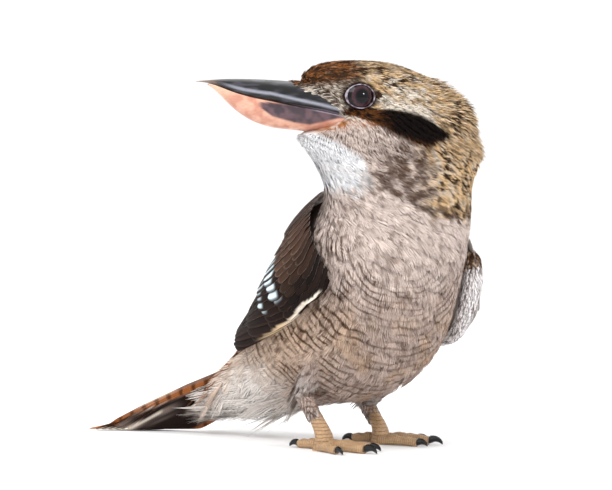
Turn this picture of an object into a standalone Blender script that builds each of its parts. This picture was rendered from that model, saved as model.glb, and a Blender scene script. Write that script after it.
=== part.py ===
"""A laughing kookaburra at life size, standing and looking back over its right shoulder.

Metres, +Z up. The bird faces -Y, its left side is +X, and its feet and the tip of its tail
rest on z = 0. The flesh is one stack of egg-shaped sections from the tail root to the crown,
parted by thin cuts into torso, neck and head. Wings and tail carry their feathers as vanes.
"""

import math
from collections import namedtuple

import bmesh
import bpy
import numpy as np

# Clearance between touching pieces, and the thickness of a feather vane.
GAP = 0.0003
VANE_THICK = 0.0006
VANE_LIFT = 0.0009

# One section of the body: its centre, the turn of its front towards the bird's right and the
# lean of its plane, both in degrees, then its reach to the front, back and side in metres,
# and the power of its front curve, where 2 is an ellipse and less is more pointed.
Section = namedtuple("Section", "centre yaw pitch front back side power")

BODY = (
    Section((-0.0130, 0.1000, 0.0300), -22, 64, 0.0165, 0.0110, 0.0200, 2.0),
    Section((-0.0060, 0.0790, 0.0430), -15, 56, 0.0310, 0.0150, 0.0280, 2.0),
    Section((-0.0010, 0.0560, 0.0560), -9, 48, 0.0420, 0.0215, 0.0350, 2.1),
    Section((0.0030, 0.0310, 0.0710), -3, 40, 0.0610, 0.0300, 0.0460, 2.1),
    Section((0.0060, 0.0080, 0.0880), 0, 34, 0.0640, 0.0375, 0.0520, 2.1),
    Section((0.0090, -0.0090, 0.1080), 10, 24, 0.0550, 0.0420, 0.0500, 2.1),
    Section((0.0120, -0.0180, 0.1280), 22, 14, 0.0480, 0.0450, 0.0480, 2.1),
    Section((0.0160, -0.0225, 0.1490), 58, 6, 0.0460, 0.0485, 0.0440, 2.0),
    Section((0.0140, -0.0240, 0.1650), 95, 0, 0.0490, 0.0520, 0.0400, 2.0),
    Section((0.0075, -0.0240, 0.1770), 114, 0, 0.0500, 0.0565, 0.0350, 1.9),
    Section((0.0040, -0.0224, 0.1865), 117, 0, 0.0515, 0.0575, 0.0310, 1.8),
    Section((0.0040, -0.0224, 0.1940), 117, 0, 0.0400, 0.0565, 0.0290, 1.8),
    Section((0.0040, -0.0224, 0.2010), 117, 0, 0.0385, 0.0545, 0.0270, 1.8),
    Section((0.0040, -0.0224, 0.2090), 117, 0, 0.0450, 0.0480, 0.0250, 1.8),
    Section((0.0020, -0.0214, 0.2170), 117, 0, 0.0480, 0.0395, 0.0225, 1.8),
    Section((-0.0030, -0.0189, 0.2240), 117, 0, 0.0400, 0.0305, 0.0185, 1.8),
    Section((-0.0070, -0.0168, 0.2290), 117, 0, 0.0270, 0.0210, 0.0125, 1.9),
    Section((-0.0080, -0.0163, 0.2312), 117, 0, 0.0, 0.0, 0.0, 2.0),
)
# Where torso, neck and head begin and end on the stack, a gap apart, and their rings.
BODY_PARTS = {"torso": (0.0, 7.0, 17), "neck": (7.018, 8.6, 6), "head": (8.618, 17.0, 18)}
BODY_SIDES = 32

# The sheath over which the folded wings lie, from past the tail root up to the shoulders.
SHEATH = (
    Section((-0.0270, 0.1240, 0.0300), -24, 66, 0.0120, 0.0130, 0.0230, 2.0),
    Section((-0.0150, 0.1010, 0.0340), -20, 64, 0.0160, 0.0150, 0.0270, 2.0),
    Section((-0.0080, 0.0790, 0.0440), -14, 60, 0.0240, 0.0180, 0.0340, 2.0),
    Section((-0.0020, 0.0560, 0.0570), -8, 55, 0.0330, 0.0250, 0.0410, 2.1),
    Section((0.0020, 0.0320, 0.0710), -2, 50, 0.0430, 0.0330, 0.0480, 2.1),
    Section((0.0050, 0.0080, 0.0880), 5, 42, 0.0500, 0.0390, 0.0530, 2.1),
    Section((0.0080, -0.0100, 0.1080), 12, 30, 0.0510, 0.0425, 0.0540, 2.1),
    Section((0.0115, -0.0180, 0.1280), 17, 17, 0.0470, 0.0430, 0.0510, 2.1),
    Section((0.0160, -0.0225, 0.1490), 22, 6, 0.0450, 0.0420, 0.0420, 2.0),
)

# The head's own frame: the point of its axis between the eyes, and where it faces.
HEAD_AXIS = (-0.0143, -0.0138)
HEAD_YAW = 117

EYE_HEIGHT = 0.2093
EYE_OFFSET = 0.0143
EYE_RADIUS = 0.0100
LID_RADIUS = 0.0080
LID_THICK = 0.0013
LID_STRETCH = 1.10

# The bill: distance ahead of the eyes, then height of ridge, mouth line and keel, half width.
# The upper bill's root stays clear of the eye sockets.
BillSection = namedtuple("BillSection", "ahead ridge mouth keel half")
BILL = (
    BillSection(0.0020, 0.2160, 0.1968, 0.1890, 0.0175),
    BillSection(0.0160, 0.2174, 0.2000, 0.1888, 0.0160),
    BillSection(0.0330, 0.2184, 0.2033, 0.1902, 0.0134),
    BillSection(0.0470, 0.2192, 0.2061, 0.1918, 0.0110),
    BillSection(0.0620, 0.2196, 0.2092, 0.1972, 0.0082),
    BillSection(0.0740, 0.2195, 0.2130, 0.2064, 0.0054),
    BillSection(0.0835, 0.2189, 0.2165, 0.2150, 0.0028),
    BillSection(0.0920, 0.2181, 0.2176, 0.2174, 0.0008),
)
BILL_RINGS = 14
UPPER_BILL_START, LOWER_BILL_END = 0.0115, 0.0850
NOSTRIL = (0.0268, 0.2126)
NOSTRIL_SIZE = (0.0036, 0.0009)

# Legs, as the bird's right and left: hip, knee and ankle, and the middle of the foot.
RIGHT_HIP, RIGHT_KNEE = (-0.018, 0.010, 0.084), (-0.026, 0.000, 0.060)
RIGHT_ANKLE, RIGHT_FOOT = (-0.0297, 0.0105, 0.0335), (-0.0205, 0.0020)
LEFT_HIP, LEFT_KNEE = (0.026, 0.012, 0.078), (0.024, -0.008, 0.050)
LEFT_ANKLE, LEFT_FOOT = (0.0310, 0.0210, 0.0230), (0.0280, 0.0050)
RIGHT_FOOT_YAW, LEFT_FOOT_YAW = -15, -27

# Toes: turn from the foot's own line in degrees, sideways start, length, radius, claw reach.
Toe = namedtuple("Toe", "name turn aside length radius claw")
TOES = (
    Toe("inner", 24, 0.0066, 0.0150, 0.0028, 0.0095),
    Toe("middle", 3, 0.0008, 0.0250, 0.0032, 0.0125),
    Toe("outer", -7, -0.0058, 0.0215, 0.0029, 0.0100),
    Toe("hind", 180, 0.0, 0.0125, 0.0030, 0.0100),
)

# The tail lies on a sheet through its tip on the floor: the way back along it, the way up
# across it to its raised right edge, and how softly it bends where it meets the floor.
TAIL_TIP = (-0.0763, 0.1808, 0.0)
TAIL_BACK, TAIL_UP = (-0.478, 0.763, -0.434), (-0.654, 0.020, 0.754)
TAIL_BEND = 0.0016
# Right, middle and left feather: where the root and the tip lie up the sheet, and the end.
TAIL_ROOTS, TAIL_TIPS = (-0.0205, -0.0220, -0.0235), (-0.0190, -0.0085, -0.0350)
TAIL_START, TAIL_OUTER_END = -0.1130, -0.0240
TAIL_HALF_WIDTH = 0.0100
TAIL_PAIRS = 6

COLOURS = {
    "plumage_breast": (0.70, 0.63, 0.56),
    "plumage_head": (0.52, 0.40, 0.28),
    "plumage_wing": (0.12, 0.08, 0.06),
    "plumage_tail": (0.42, 0.26, 0.15),
    "bill_dark": (0.05, 0.05, 0.055),
    "bill_pale": (0.78, 0.52, 0.40),
    "eye": (0.03, 0.02, 0.02),
    "leg_skin": (0.60, 0.42, 0.22),
    "claw": (0.02, 0.02, 0.025),
}
ROUGH = {"eye": 0.05, "bill_dark": 0.3, "bill_pale": 0.4, "claw": 0.25}


def spline(knots, values, at):
    """A natural cubic spline through values at knots, read at the places in at."""
    knots, values = np.asarray(knots, float), np.asarray(values, float)
    n, h = len(knots), np.diff(knots)
    matrix, right = np.eye(n), np.zeros((n, values.shape[1]))
    for i in range(1, n - 1):
        matrix[i, i - 1 : i + 2] = h[i - 1], 2 * (h[i - 1] + h[i]), h[i]
        right[i] = 6 * ((values[i + 1] - values[i]) / h[i] - (values[i] - values[i - 1]) / h[i - 1])
    bend = np.linalg.solve(matrix, right)
    at = np.asarray(at, float)
    i = np.clip(np.searchsorted(knots, at) - 1, 0, n - 2)
    step, left = h[i][..., None], (at - knots[i])[..., None]
    rest = step - left
    return (
        (bend[i] * rest**3 + bend[i + 1] * left**3) / (6 * step)
        + (values[i] / step - bend[i] * step / 6) * rest
        + (values[i + 1] / step - bend[i + 1] * step / 6) * left
    )


def section_columns(sections):
    """The sections as rows of numbers, and knots spaced by how far each reaches from the last."""
    rows = np.array([[*s.centre, s.yaw, s.pitch, s.front, s.back, s.side, s.power] for s in sections])
    moves = np.diff(rows[:, [0, 1, 2, 5, 6]], axis=0)
    return rows, np.concatenate([[0], np.cumsum(np.linalg.norm(moves, axis=1))])


def section_axes(yaw, pitch):
    """Front, left and normal directions of sections with this yaw and pitch."""
    yaw, pitch = np.radians(yaw), np.radians(pitch)
    flat = np.stack([-np.sin(yaw), -np.cos(yaw), 0 * yaw], -1)
    left = np.stack([np.cos(yaw), -np.sin(yaw), 0 * yaw], -1)
    up = np.array([0.0, 0.0, 1.0])
    lean, rise = np.sin(pitch)[..., None], np.cos(pitch)[..., None]
    return flat * rise - up * lean, left, flat * lean + up * rise


def stack_point(sections, place, angle, grow=0.0):
    """Points on a stack of sections: place counts sections, angle turns from front to left."""
    rows, knots = section_columns(sections)
    place, angle = np.broadcast_arrays(np.asarray(place, float), np.asarray(angle, float))
    at = np.interp(place, np.arange(len(sections)), knots)
    at += np.minimum(place, 0) * knots[1]
    at += np.maximum(place - (len(sections) - 1), 0) * (knots[-1] - knots[-2])
    values = spline(knots, rows, at)
    front_way, left_way, _ = section_axes(values[..., 3], values[..., 4])
    forward, across = np.cos(angle), np.sin(angle)
    reach = np.where(forward > 0, values[..., 5], values[..., 6])
    power = np.where(forward > 0, values[..., 8], 2.0)
    reach, side = np.maximum(reach, 1e-6), np.maximum(values[..., 7], 1e-6)
    size = (np.abs(forward) / reach) ** power + (np.abs(across) / side) ** power
    radius = (size ** (-1 / power) + grow)[..., None]
    return values[..., :3] + radius * (forward[..., None] * front_way + across[..., None] * left_way)


def stack_normal(sections, place, angle):
    """Outward unit normals of the stack, from small steps along and around it."""
    step = 0.02
    along = stack_point(sections, place + step, angle) - stack_point(sections, place - step, angle)
    around = stack_point(sections, place, angle + step) - stack_point(sections, place, angle - step)
    normal = np.cross(around, along)
    return normal / np.linalg.norm(normal, axis=-1, keepdims=True)


def head_point(ahead, left, height):
    """A point given ahead of and to the left of the middle of the eyes, in the head's frame."""
    front_way, left_way, _ = section_axes(np.float64(HEAD_YAW), np.float64(0))
    flat = np.asarray(ahead)[..., None] * front_way + np.asarray(left)[..., None] * left_way
    base = np.array([*HEAD_AXIS, 0.0])
    return flat + base + np.asarray(height)[..., None] * np.array([0.0, 0.0, 1.0])


def turned(yaw):
    """Forward and left directions on the floor for a turn to the bird's right, in degrees."""
    front_way, left_way, _ = section_axes(np.float64(yaw), np.float64(0))
    return front_way, left_way


def mesh_object(name, points, faces, slot=None, smooth_angle=40):
    """An object from points and faces, with its faces turned outwards."""
    mesh = bpy.data.meshes.new(name)
    mesh.from_pydata([tuple(p) for p in np.asarray(points, float)], [], [tuple(f) for f in faces])
    shape = bmesh.new()
    shape.from_mesh(mesh)
    bmesh.ops.recalc_face_normals(shape, faces=shape.faces)
    if shape.calc_volume(signed=True) < 0:
        bmesh.ops.reverse_faces(shape, faces=shape.faces)
    shape.to_mesh(mesh)
    shape.free()
    mesh.shade_smooth()
    mesh.set_sharp_from_angle(angle=math.radians(smooth_angle))
    obj = bpy.data.objects.new(name, mesh)
    bpy.context.scene.collection.objects.link(obj)
    if slot:
        mesh.materials.append(finish(slot))
    return obj


def finish(slot):
    """The material of this slot, made once."""
    if slot in bpy.data.materials:
        return bpy.data.materials[slot]
    material = bpy.data.materials.new(slot)
    material.use_nodes = True
    shader = material.node_tree.nodes["Principled BSDF"]
    shader.inputs["Base Color"].default_value = (*COLOURS[slot], 1.0)
    shader.inputs["Roughness"].default_value = ROUGH.get(slot, 0.75)
    shader.inputs["Metallic"].default_value = 0.0
    return material


def ring_faces(rings, around):
    """Quads between closed rings, with a flat cap at each end that isn't a single point."""
    faces = []
    for i in range(rings - 1):
        for j in range(around):
            k = (j + 1) % around
            faces.append((i * around + j, i * around + k, (i + 1) * around + k, (i + 1) * around + j))
    return faces


def loft(name, rings, slot=None, pole_start=False, pole_end=False, smooth_angle=40):
    """A closed solid through rings of points, closed by flat caps or by single points."""
    count, around = rings.shape[:2]
    points = rings.reshape(-1, 3)
    faces = ring_faces(count, around)
    last = (count - 1) * around
    if pole_start:
        points = np.vstack([points, rings[0].mean(0)])
        faces = [f for f in faces if min(f) >= around]
        faces += [(len(points) - 1, around + (j + 1) % around, around + j) for j in range(around)]
    else:
        faces.append(tuple(range(around))[::-1])
    if pole_end:
        points = np.vstack([points, rings[-1].mean(0)])
        inner = last - around
        faces = [f for f in faces if max(f) < last or len(f) != 4 or f[-1] == len(points)]
        faces += [(inner + j, inner + (j + 1) % around, len(points) - 1) for j in range(around)]
    else:
        faces.append(tuple(range(last, last + around)))
    used = sorted({i for f in faces for i in f})
    new_index = {old: new for new, old in enumerate(used)}
    faces = [tuple(new_index[i] for i in f) for f in faces]
    return mesh_object(name, points[used], faces, slot, smooth_angle)


def apply_modifiers(obj):
    """Replaces the object's mesh by what its modifiers make of it."""
    graph = bpy.context.evaluated_depsgraph_get()
    made = bpy.data.meshes.new_from_object(obj.evaluated_get(graph))
    obj.modifiers.clear()
    obj.data = made
    return obj


def discard(objects):
    """Removes helper objects."""
    for obj in objects:
        bpy.data.objects.remove(obj)


def crowded_pairs(shape, method):
    """Pairs of corners that would be joined by an edge of four faces if all faces were split."""
    trial = shape.copy()
    bmesh.ops.triangulate(trial, faces=trial.faces, ngon_method=method)
    trial.verts.index_update()
    pairs = [{v.index for v in e.verts} for e in trial.edges if len(e.link_faces) != 2]
    trial.free()
    return pairs


def split_faces(shape):
    """Splits every face into triangles so that no new edge is shared by four of them."""
    bmesh.ops.dissolve_degenerate(shape, dist=1e-6, edges=shape.edges)
    methods = ("BEAUTY", "EAR_CLIP", "BEAUTY", "POKE")
    for method, other in zip(methods, methods[1:]):
        pairs = crowded_pairs(shape, method)
        if not pairs:
            break
        shape.verts.index_update()
        corners = {f: {v.index for v in f.verts} for f in shape.faces if len(f.verts) > 3}
        faces = [f for f, held in corners.items() if any(pair <= held for pair in pairs)]
        if other == "POKE":
            bmesh.ops.poke(shape, faces=faces)
        else:
            bmesh.ops.triangulate(shape, faces=faces, ngon_method=other)
    bmesh.ops.triangulate(shape, faces=shape.faces, ngon_method=method)


def keep_largest(obj):
    """Drops every loose scrap and sealed hollow, so that the object is one closed surface."""
    shape = bmesh.new()
    shape.from_mesh(obj.data)
    shape.faces.ensure_lookup_table()
    unseen, shells = set(shape.faces), []
    while unseen:
        found, edge = set(), [next(iter(unseen))]
        while edge:
            face = edge.pop()
            if face not in found:
                found.add(face)
                edge.extend(f for e in face.edges for f in e.link_faces if f not in found)
        unseen -= found
        shells.append(found)
    largest = max(shells, key=lambda shell: sum(face.calc_area() for face in shell))
    dropped = [f for shell in shells if shell is not largest for f in shell]
    bmesh.ops.delete(shape, geom=dropped, context="FACES")
    loose = [v for v in shape.verts if not v.link_faces]
    bmesh.ops.delete(shape, geom=loose, context="VERTS")
    split_faces(shape)
    shape.to_mesh(obj.data)
    shape.free()
    return obj


def boolean(obj, others, operation, solver="EXACT"):
    """Joins or cuts obj with closed mesh objects, then removes them."""
    group = bpy.data.collections.new("operands")
    for other in others:
        group.objects.link(other)
    modifier = obj.modifiers.new(operation.lower(), "BOOLEAN")
    modifier.operation = operation
    modifier.solver = solver
    modifier.operand_type = "COLLECTION"
    modifier.collection = group
    apply_modifiers(obj)
    discard(others)
    bpy.data.collections.remove(group)
    return obj


def grown(obj, by=GAP):
    """A copy of obj with every face moved outwards, as a cutter that leaves a gap."""
    copy = bpy.data.objects.new(obj.name + "_grown", obj.data.copy())
    bpy.context.scene.collection.objects.link(copy)
    shape = bmesh.new()
    shape.from_mesh(copy.data)
    shape.normal_update()
    for vertex in shape.verts:
        vertex.co += vertex.normal * by * max(1.0, vertex.calc_shell_factor())
    shape.to_mesh(copy.data)
    shape.free()
    return copy


def body_places(name):
    """The places of one part's rings: they crowd together towards the crown."""
    low, high, rings = BODY_PARTS[name]
    share = np.linspace(0, 1, rings)
    return low + (high - low) * (1 - (1 - share) ** (1.35 if name == "head" else 1.0))


def body_loft(name, places, slot=None):
    """The length of the body through these places, with flat ends, or a closed crown."""
    angles = np.linspace(0, 2 * math.pi, BODY_SIDES, endpoint=False)
    rings = stack_point(BODY, places[:, None], angles[None, :])
    return loft(name, rings, slot, pole_end=places[-1] >= len(BODY) - 1)


def make_body():
    """Torso, neck and head, which share one smooth surface, and the whole of it as a cutter."""
    slots = {"torso": "plumage_breast", "neck": "plumage_breast", "head": "plumage_head"}
    parts = {name: body_loft(name, body_places(name), slots[name]) for name in BODY_PARTS}
    whole = body_loft("whole_body", np.concatenate([body_places(name) for name in BODY_PARTS]))
    return parts["head"], whole


def ball(name, centre, radius, slot=None, segments=20, rings=12):
    """A ball as a UV sphere."""
    shape = bmesh.new()
    bmesh.ops.create_uvsphere(shape, u_segments=segments, v_segments=rings, radius=radius)
    bmesh.ops.translate(shape, verts=shape.verts, vec=tuple(centre))
    mesh = bpy.data.meshes.new(name)
    shape.to_mesh(mesh)
    shape.free()
    mesh.shade_smooth()
    obj = bpy.data.objects.new(name, mesh)
    bpy.context.scene.collection.objects.link(obj)
    if slot:
        mesh.materials.append(finish(slot))
    return obj


def lid_ring(side):
    """The raised rim of bare lid round one eye, which leans out with the side of the face."""
    around, tube = 24, 6
    turn = np.linspace(0, 2 * math.pi, around, endpoint=False)[:, None]
    roll = np.linspace(0, 2 * math.pi, tube, endpoint=False)[None, :]
    out = EYE_OFFSET + math.sqrt(EYE_RADIUS**2 - LID_RADIUS**2)
    radius = LID_RADIUS + LID_THICK * np.cos(roll)
    ahead = radius * np.cos(turn) * LID_STRETCH
    height = EYE_HEIGHT + radius * np.sin(turn)
    left = side * (out + LID_THICK * np.sin(roll) - 0.12 * ahead)
    points = head_point(ahead, left, height)
    faces = ring_faces(around, tube)
    start, last = 0, (around - 1) * tube
    for j in range(tube):
        k = (j + 1) % tube
        faces.append((last + j, last + k, start + k, start + j))
    return mesh_object("lid_ring", points.reshape(-1, 3), faces)


def make_eyes(head):
    """Both eyes, and the head with their lids raised and their sockets cut."""
    sides = {"eye_left": 1, "eye_right": -1}
    rims = [lid_ring(side) for side in sides.values()]
    boolean(head, rims, "UNION")
    eyes = []
    sockets = []
    for name, side in sides.items():
        centre = head_point(0.0, side * EYE_OFFSET, EYE_HEIGHT)
        eyes.append(ball(name, centre, EYE_RADIUS, "eye"))
        sockets.append(ball(name + "_socket", centre, EYE_RADIUS + GAP * 1.3))
    boolean(head, sockets, "DIFFERENCE")
    keep_largest(head)
    return eyes


def bill_values(ahead):
    """Ridge, mouth, keel and half width of the bill at distances ahead of the eyes."""
    rows = np.array(BILL)
    return spline(rows[:, 0], rows[:, 1:], ahead).T


def make_bill(body):
    """Upper and lower bill, parted by the line of the mouth and ending at the face."""
    spread = np.linspace(0, 1, BILL_RINGS)
    ahead = UPPER_BILL_START + (BILL[-1].ahead - UPPER_BILL_START) * spread**0.9
    ridge, mouth, _, half = bill_values(ahead)
    widest = mouth + 0.28 * (ridge - mouth)
    turn = np.radians(np.linspace(-38, 218, 15))
    across = half[:, None] * np.cos(turn)
    over = widest[:, None] + (ridge - widest)[:, None] * np.sin(turn)
    tuck = math.sin(math.radians(38))
    under = widest[:, None] + (widest - mouth - GAP / 2)[:, None] * np.sin(turn) / tuck
    height = np.where(np.sin(turn) > 0, over, under)
    upper = loft("bill_upper", head_point(ahead[:, None], across, height), "bill_dark")

    ahead = BILL[0].ahead + (LOWER_BILL_END - BILL[0].ahead) * spread**0.9
    _, mouth, keel, half = bill_values(ahead)
    turn = np.radians(np.linspace(0, 180, 11))
    across = 0.92 * half[:, None] * np.sign(np.cos(turn)) * np.abs(np.cos(turn)) ** 0.9
    height = (mouth - GAP)[:, None] - (mouth - keel)[:, None] * np.sin(turn) ** 0.9
    lower = loft("bill_lower", head_point(ahead[:, None], across, height), "bill_pale")

    for piece in (upper, lower):
        boolean(piece, [grown(body)], "DIFFERENCE")
        keep_largest(piece)
    for side in (1, -1):
        slit = ball("nostril", (0, 0, 0), 1.0, segments=12, rings=8)
        front_way, left_way = turned(HEAD_YAW)
        middle = head_point(NOSTRIL[0], side * 0.0105, NOSTRIL[1])
        for vertex in slit.data.vertices:
            x, y, z = vertex.co
            spot = middle + front_way * x * NOSTRIL_SIZE[0] + left_way * y * 0.0022
            spot[2] += z * NOSTRIL_SIZE[1] + x * 0.0010
            vertex.co = spot
        boolean(upper, [slit], "DIFFERENCE")
    keep_largest(upper)
    return upper, lower


def tube_rings(path, radii, flatten=None, around=12, side_way=None):
    """Rings of radius radii across a path, level with side_way, as wide as flatten times that."""
    path, radii = np.asarray(path, float), np.asarray(radii, float)
    along = np.gradient(path, axis=0)
    along /= np.linalg.norm(along, axis=1, keepdims=True)
    guide = np.array(side_way if side_way is not None else (1.0, 0.0, 0.0))
    up = np.cross(along, guide)
    up /= np.linalg.norm(up, axis=1, keepdims=True)
    side = np.cross(up, along)
    wide = radii * (flatten if flatten is not None else 1.0)
    turn = np.linspace(0, 2 * math.pi, around, endpoint=False)
    return (
        path[:, None]
        + wide[:, None, None] * np.cos(turn)[None, :, None] * side[:, None]
        + radii[:, None, None] * np.sin(turn)[None, :, None] * up[:, None]
    )


def make_thigh(name, hip, knee, ankle, body):
    """The feathered thigh and shin, from inside the torso down to the ankle."""
    points = np.array([hip, knee, 0.5 * np.add(knee, ankle), ankle])
    points[2] += np.array([0.0, -0.0015, 0.0])
    knots = np.array([0.0, 0.4, 0.75, 1.0])
    share = np.linspace(0, 1, 11)
    path = spline(knots, points, share)
    radii = spline(knots, np.array([[0.022], [0.0165], [0.0088], [0.0052]]), share)[:, 0]
    thigh = loft(name, tube_rings(path, radii, around=16), "plumage_breast")
    boolean(thigh, [grown(body)], "DIFFERENCE")
    return keep_largest(thigh)


def make_tarsus(name, knee, ankle, foot, yaw, thigh):
    """The bare shank from just inside the thigh's end to a flat palm on the floor."""
    down = np.subtract(ankle, knee)
    start = np.array(ankle) - 0.0015 * down / np.linalg.norm(down)
    palm = np.array([*foot, 0.0])
    shaft = palm + np.array([0.0, 0.0, 0.0075])
    knots = np.array([0.0, 0.45, 0.8, 1.0])
    points = np.array([start, 0.5 * (start + shaft), shaft, palm])
    sizes = np.array([[0.0046, 1.0], [0.0041, 1.0], [0.0050, 1.25], [0.0062, 1.45]])
    share = np.linspace(0, 1, 10)
    path, size = spline(knots, points, share), spline(knots, sizes, share)
    _, left_way = turned(yaw)
    rings = tube_rings(path, size[:, 0], size[:, 1], 14, left_way)
    rings[:, :, 2] = np.maximum(rings[:, :, 2], 0.0)
    sole = rings[-1] - path[-1]
    sole[:, 2] = 0.0
    longer = size[-1, 0] / np.maximum(np.linalg.norm(sole, axis=1), 1e-6)
    rings[-1] = path[-1] + sole * np.clip(longer, 1.0, 1.6)[:, None]
    tarsus = loft(name, rings, "leg_skin")
    boolean(tarsus, [grown(thigh)], "DIFFERENCE")
    return keep_largest(tarsus)


def make_toe(name, toe, foot, yaw, mirror, tarsus):
    """One toe with its pads, flat underneath, and its curved claw."""
    front_way, left_way = turned(yaw)
    angle = math.radians(toe.turn) * mirror
    way = front_way * math.cos(angle) + left_way * math.sin(angle)
    side = np.cross([0, 0, 1.0], way)
    start = np.array([*foot, 0.0]) + left_way * toe.aside * mirror + way * 0.0015
    share = np.linspace(0, 1, 10)
    pads = 1 + 0.10 * np.cos(share * 5 * math.pi) * np.sin(share * math.pi)
    radii = toe.radius * pads * (1.08 - 0.22 * share)
    centre = start + np.outer(share * (toe.length + 0.004), way)
    centre[:, 2] = radii * 0.92 + 0.0006 * np.sin(share * math.pi)
    rings = tube_rings(centre, radii, around=10, side_way=side)
    rings[:, :, 2] = np.maximum(rings[:, :, 2], 0.0)
    body = loft(name, rings, "leg_skin")
    boolean(body, [grown(tarsus)], "DIFFERENCE")
    keep_largest(body)

    arc = np.linspace(0, 1, 8)
    sweep = math.radians(96)
    bend = toe.claw / math.sin(sweep * 0.72)
    heading = math.radians(26) - sweep * arc
    steps = np.stack([np.cos(heading), np.sin(heading)], 1) * bend * 0.86 / len(arc)
    run = np.vstack([[0, 0], np.cumsum(0.5 * (steps[1:] + steps[:-1]), axis=0)])
    root = centre[-1] + way * (GAP * 1.2)
    path = root + np.outer(run[:, 0], way) + np.outer(run[:, 1], [0, 0, 1.0])
    width = radii[-1] * 0.80 * (1 - arc) ** 0.62 + 0.00025
    path[:, 2] += 0.0004 - min(0.0, (path[:, 2] - width).min()) * arc
    claw_rings = tube_rings(path, width, 0.78, 8, side)
    top = claw_rings[0] - path[0]
    claw_rings[0] = path[0] + top - np.outer(top @ way, way)
    claw_rings[:, :, 2] = np.maximum(claw_rings[:, :, 2], 0.0)
    claw = loft(name.replace("toe", "claw"), claw_rings, "claw")
    return body, claw


def make_leg(side, hip, knee, ankle, foot, yaw, mirror, body):
    """One leg: thigh, tarsus, four toes and four claws."""
    thigh = make_thigh(f"thigh_{side}", hip, knee, ankle, body)
    tarsus = make_tarsus(f"tarsus_{side}", knee, ankle, foot, yaw, thigh)
    for toe in TOES:
        make_toe(f"toe_{toe.name}_{side}", toe, foot, yaw, mirror, tarsus)


def vane(upper, lower):
    """A feather vane from both edges of its upper and lower face, each face split alike."""
    points = np.concatenate([upper, lower], 1).reshape(-1, 3)
    faces = []
    last = len(points) - 4
    for a in range(0, last, 4):
        b = a + 4
        faces += [(a, a + 1, b + 1), (a, b + 1, b), (a + 2, b + 3, a + 3), (a + 2, b + 2, b + 3)]
        faces += [(a, b, b + 2), (a, b + 2, a + 2), (a + 1, b + 3, b + 1), (a + 1, a + 3, b + 3)]
    faces += [(0, 2, 3), (0, 3, 1), (last, last + 3, last + 2), (last, last + 1, last + 3)]
    return mesh_object("vane", points, faces)


def vane_profile(share):
    """How wide a vane is along its length, as a part of its full half width."""
    return np.interp(share, (0, 0.3, 0.75, 0.92, 1.0), (0.55, 0.9, 1.0, 0.8, 0.34))


# One tier of wing feathers: how many, their place across the wing from leading edge to back,
# where roots and tips lie along it at both ends of the tier, height of roots and tips over the
# surface under the wing, and the step between stations along the wing.
Tier = namedtuple("Tier", "count across roots tips low high step")
TIERS = (
    Tier(6, (0.06, 0.52), (0.36, 0.34), (0.90, 1.00), -0.0042, 0.0002, 0.09),
    Tier(7, (0.08, 0.78), (0.28, 0.26), (0.66, 0.82), -0.0018, 0.0036, 0.08),
    Tier(7, (0.08, 0.76), (0.20, 0.18), (0.46, 0.50), -0.0012, 0.0052, 0.10),
    Tier(6, (0.10, 0.74), (0.09, 0.07), (0.30, 0.33), -0.0004, 0.0060, 0.09),
    Tier(3, (0.86, 1.00), (0.12, 0.10), (0.46, 0.60), -0.0018, 0.0064, 0.10),
)
# Vanes widen to this part of their spacing on each side, and tilt so that each lies this far
# over the last.
VANE_SPREAD = 0.60
# Rows of each wing from shoulder to tip: how far along, the angles of its leading and back
# edge round the sheath, and how far the leading edge stands off it, which on the left wing
# is held away from the body.
RIGHT_WING, LEFT_WING = -1, 1
WING_ROWS = {
    RIGHT_WING: (
        (0.00, 60, 132, 0.0),
        (0.25, 68, 150, 0.0),
        (0.50, 88, 158, 0.0),
        (0.75, 106, 158, 0.0),
        (1.00, 116, 146, 0.0),
    ),
    LEFT_WING: (
        (0.00, 74, 122, 0.0100),
        (0.12, 60, 132, 0.0240),
        (0.25, 64, 142, 0.0180),
        (0.42, 80, 152, 0.0080),
        (0.60, 94, 156, 0.0040),
        (0.80, 106, 156, 0.0020),
        (1.00, 118, 146, 0.0010),
    ),
}
WING_START, WING_SHOULDER, WING_END = 6.1, 7.8, 1.75
WING_DEPTH = {RIGHT_WING: 0.0125, LEFT_WING: 0.0090}
VANE_STEP = {RIGHT_WING: 0.0012, LEFT_WING: 0.0019}
# How high the wing's core stands at places along it.
CORE_ALONG = (-0.06, 0.00, 0.08, 0.20, 0.32, 0.45, 0.60)
CORE_HEIGHT = (-0.0030, 0.0022, 0.0030, 0.0012, 0.0, -0.0004, -0.0010)


def wing_place(along, across, side):
    """Place and angle on the sheath, and standoff, of a point along and across the wing."""
    place = WING_START + (WING_SHOULDER - WING_START) * across
    place = place + (WING_END - place) * along
    knots, lead, back, standoff = np.array(WING_ROWS[side]).T
    lead, back = np.interp(along, knots, lead), np.interp(along, knots, back)
    off = np.interp(along, knots, standoff) * (1 - across)
    return place, side * np.radians(lead + (back - lead) * across), off


def wing_surface(along, across, side):
    """A point of the surface under the wing and its outward normal."""
    place, angle, off = wing_place(along, across, side)
    normal = stack_normal(SHEATH, place, angle)
    return stack_point(SHEATH, place, angle) + normal * off[..., None], normal


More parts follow.
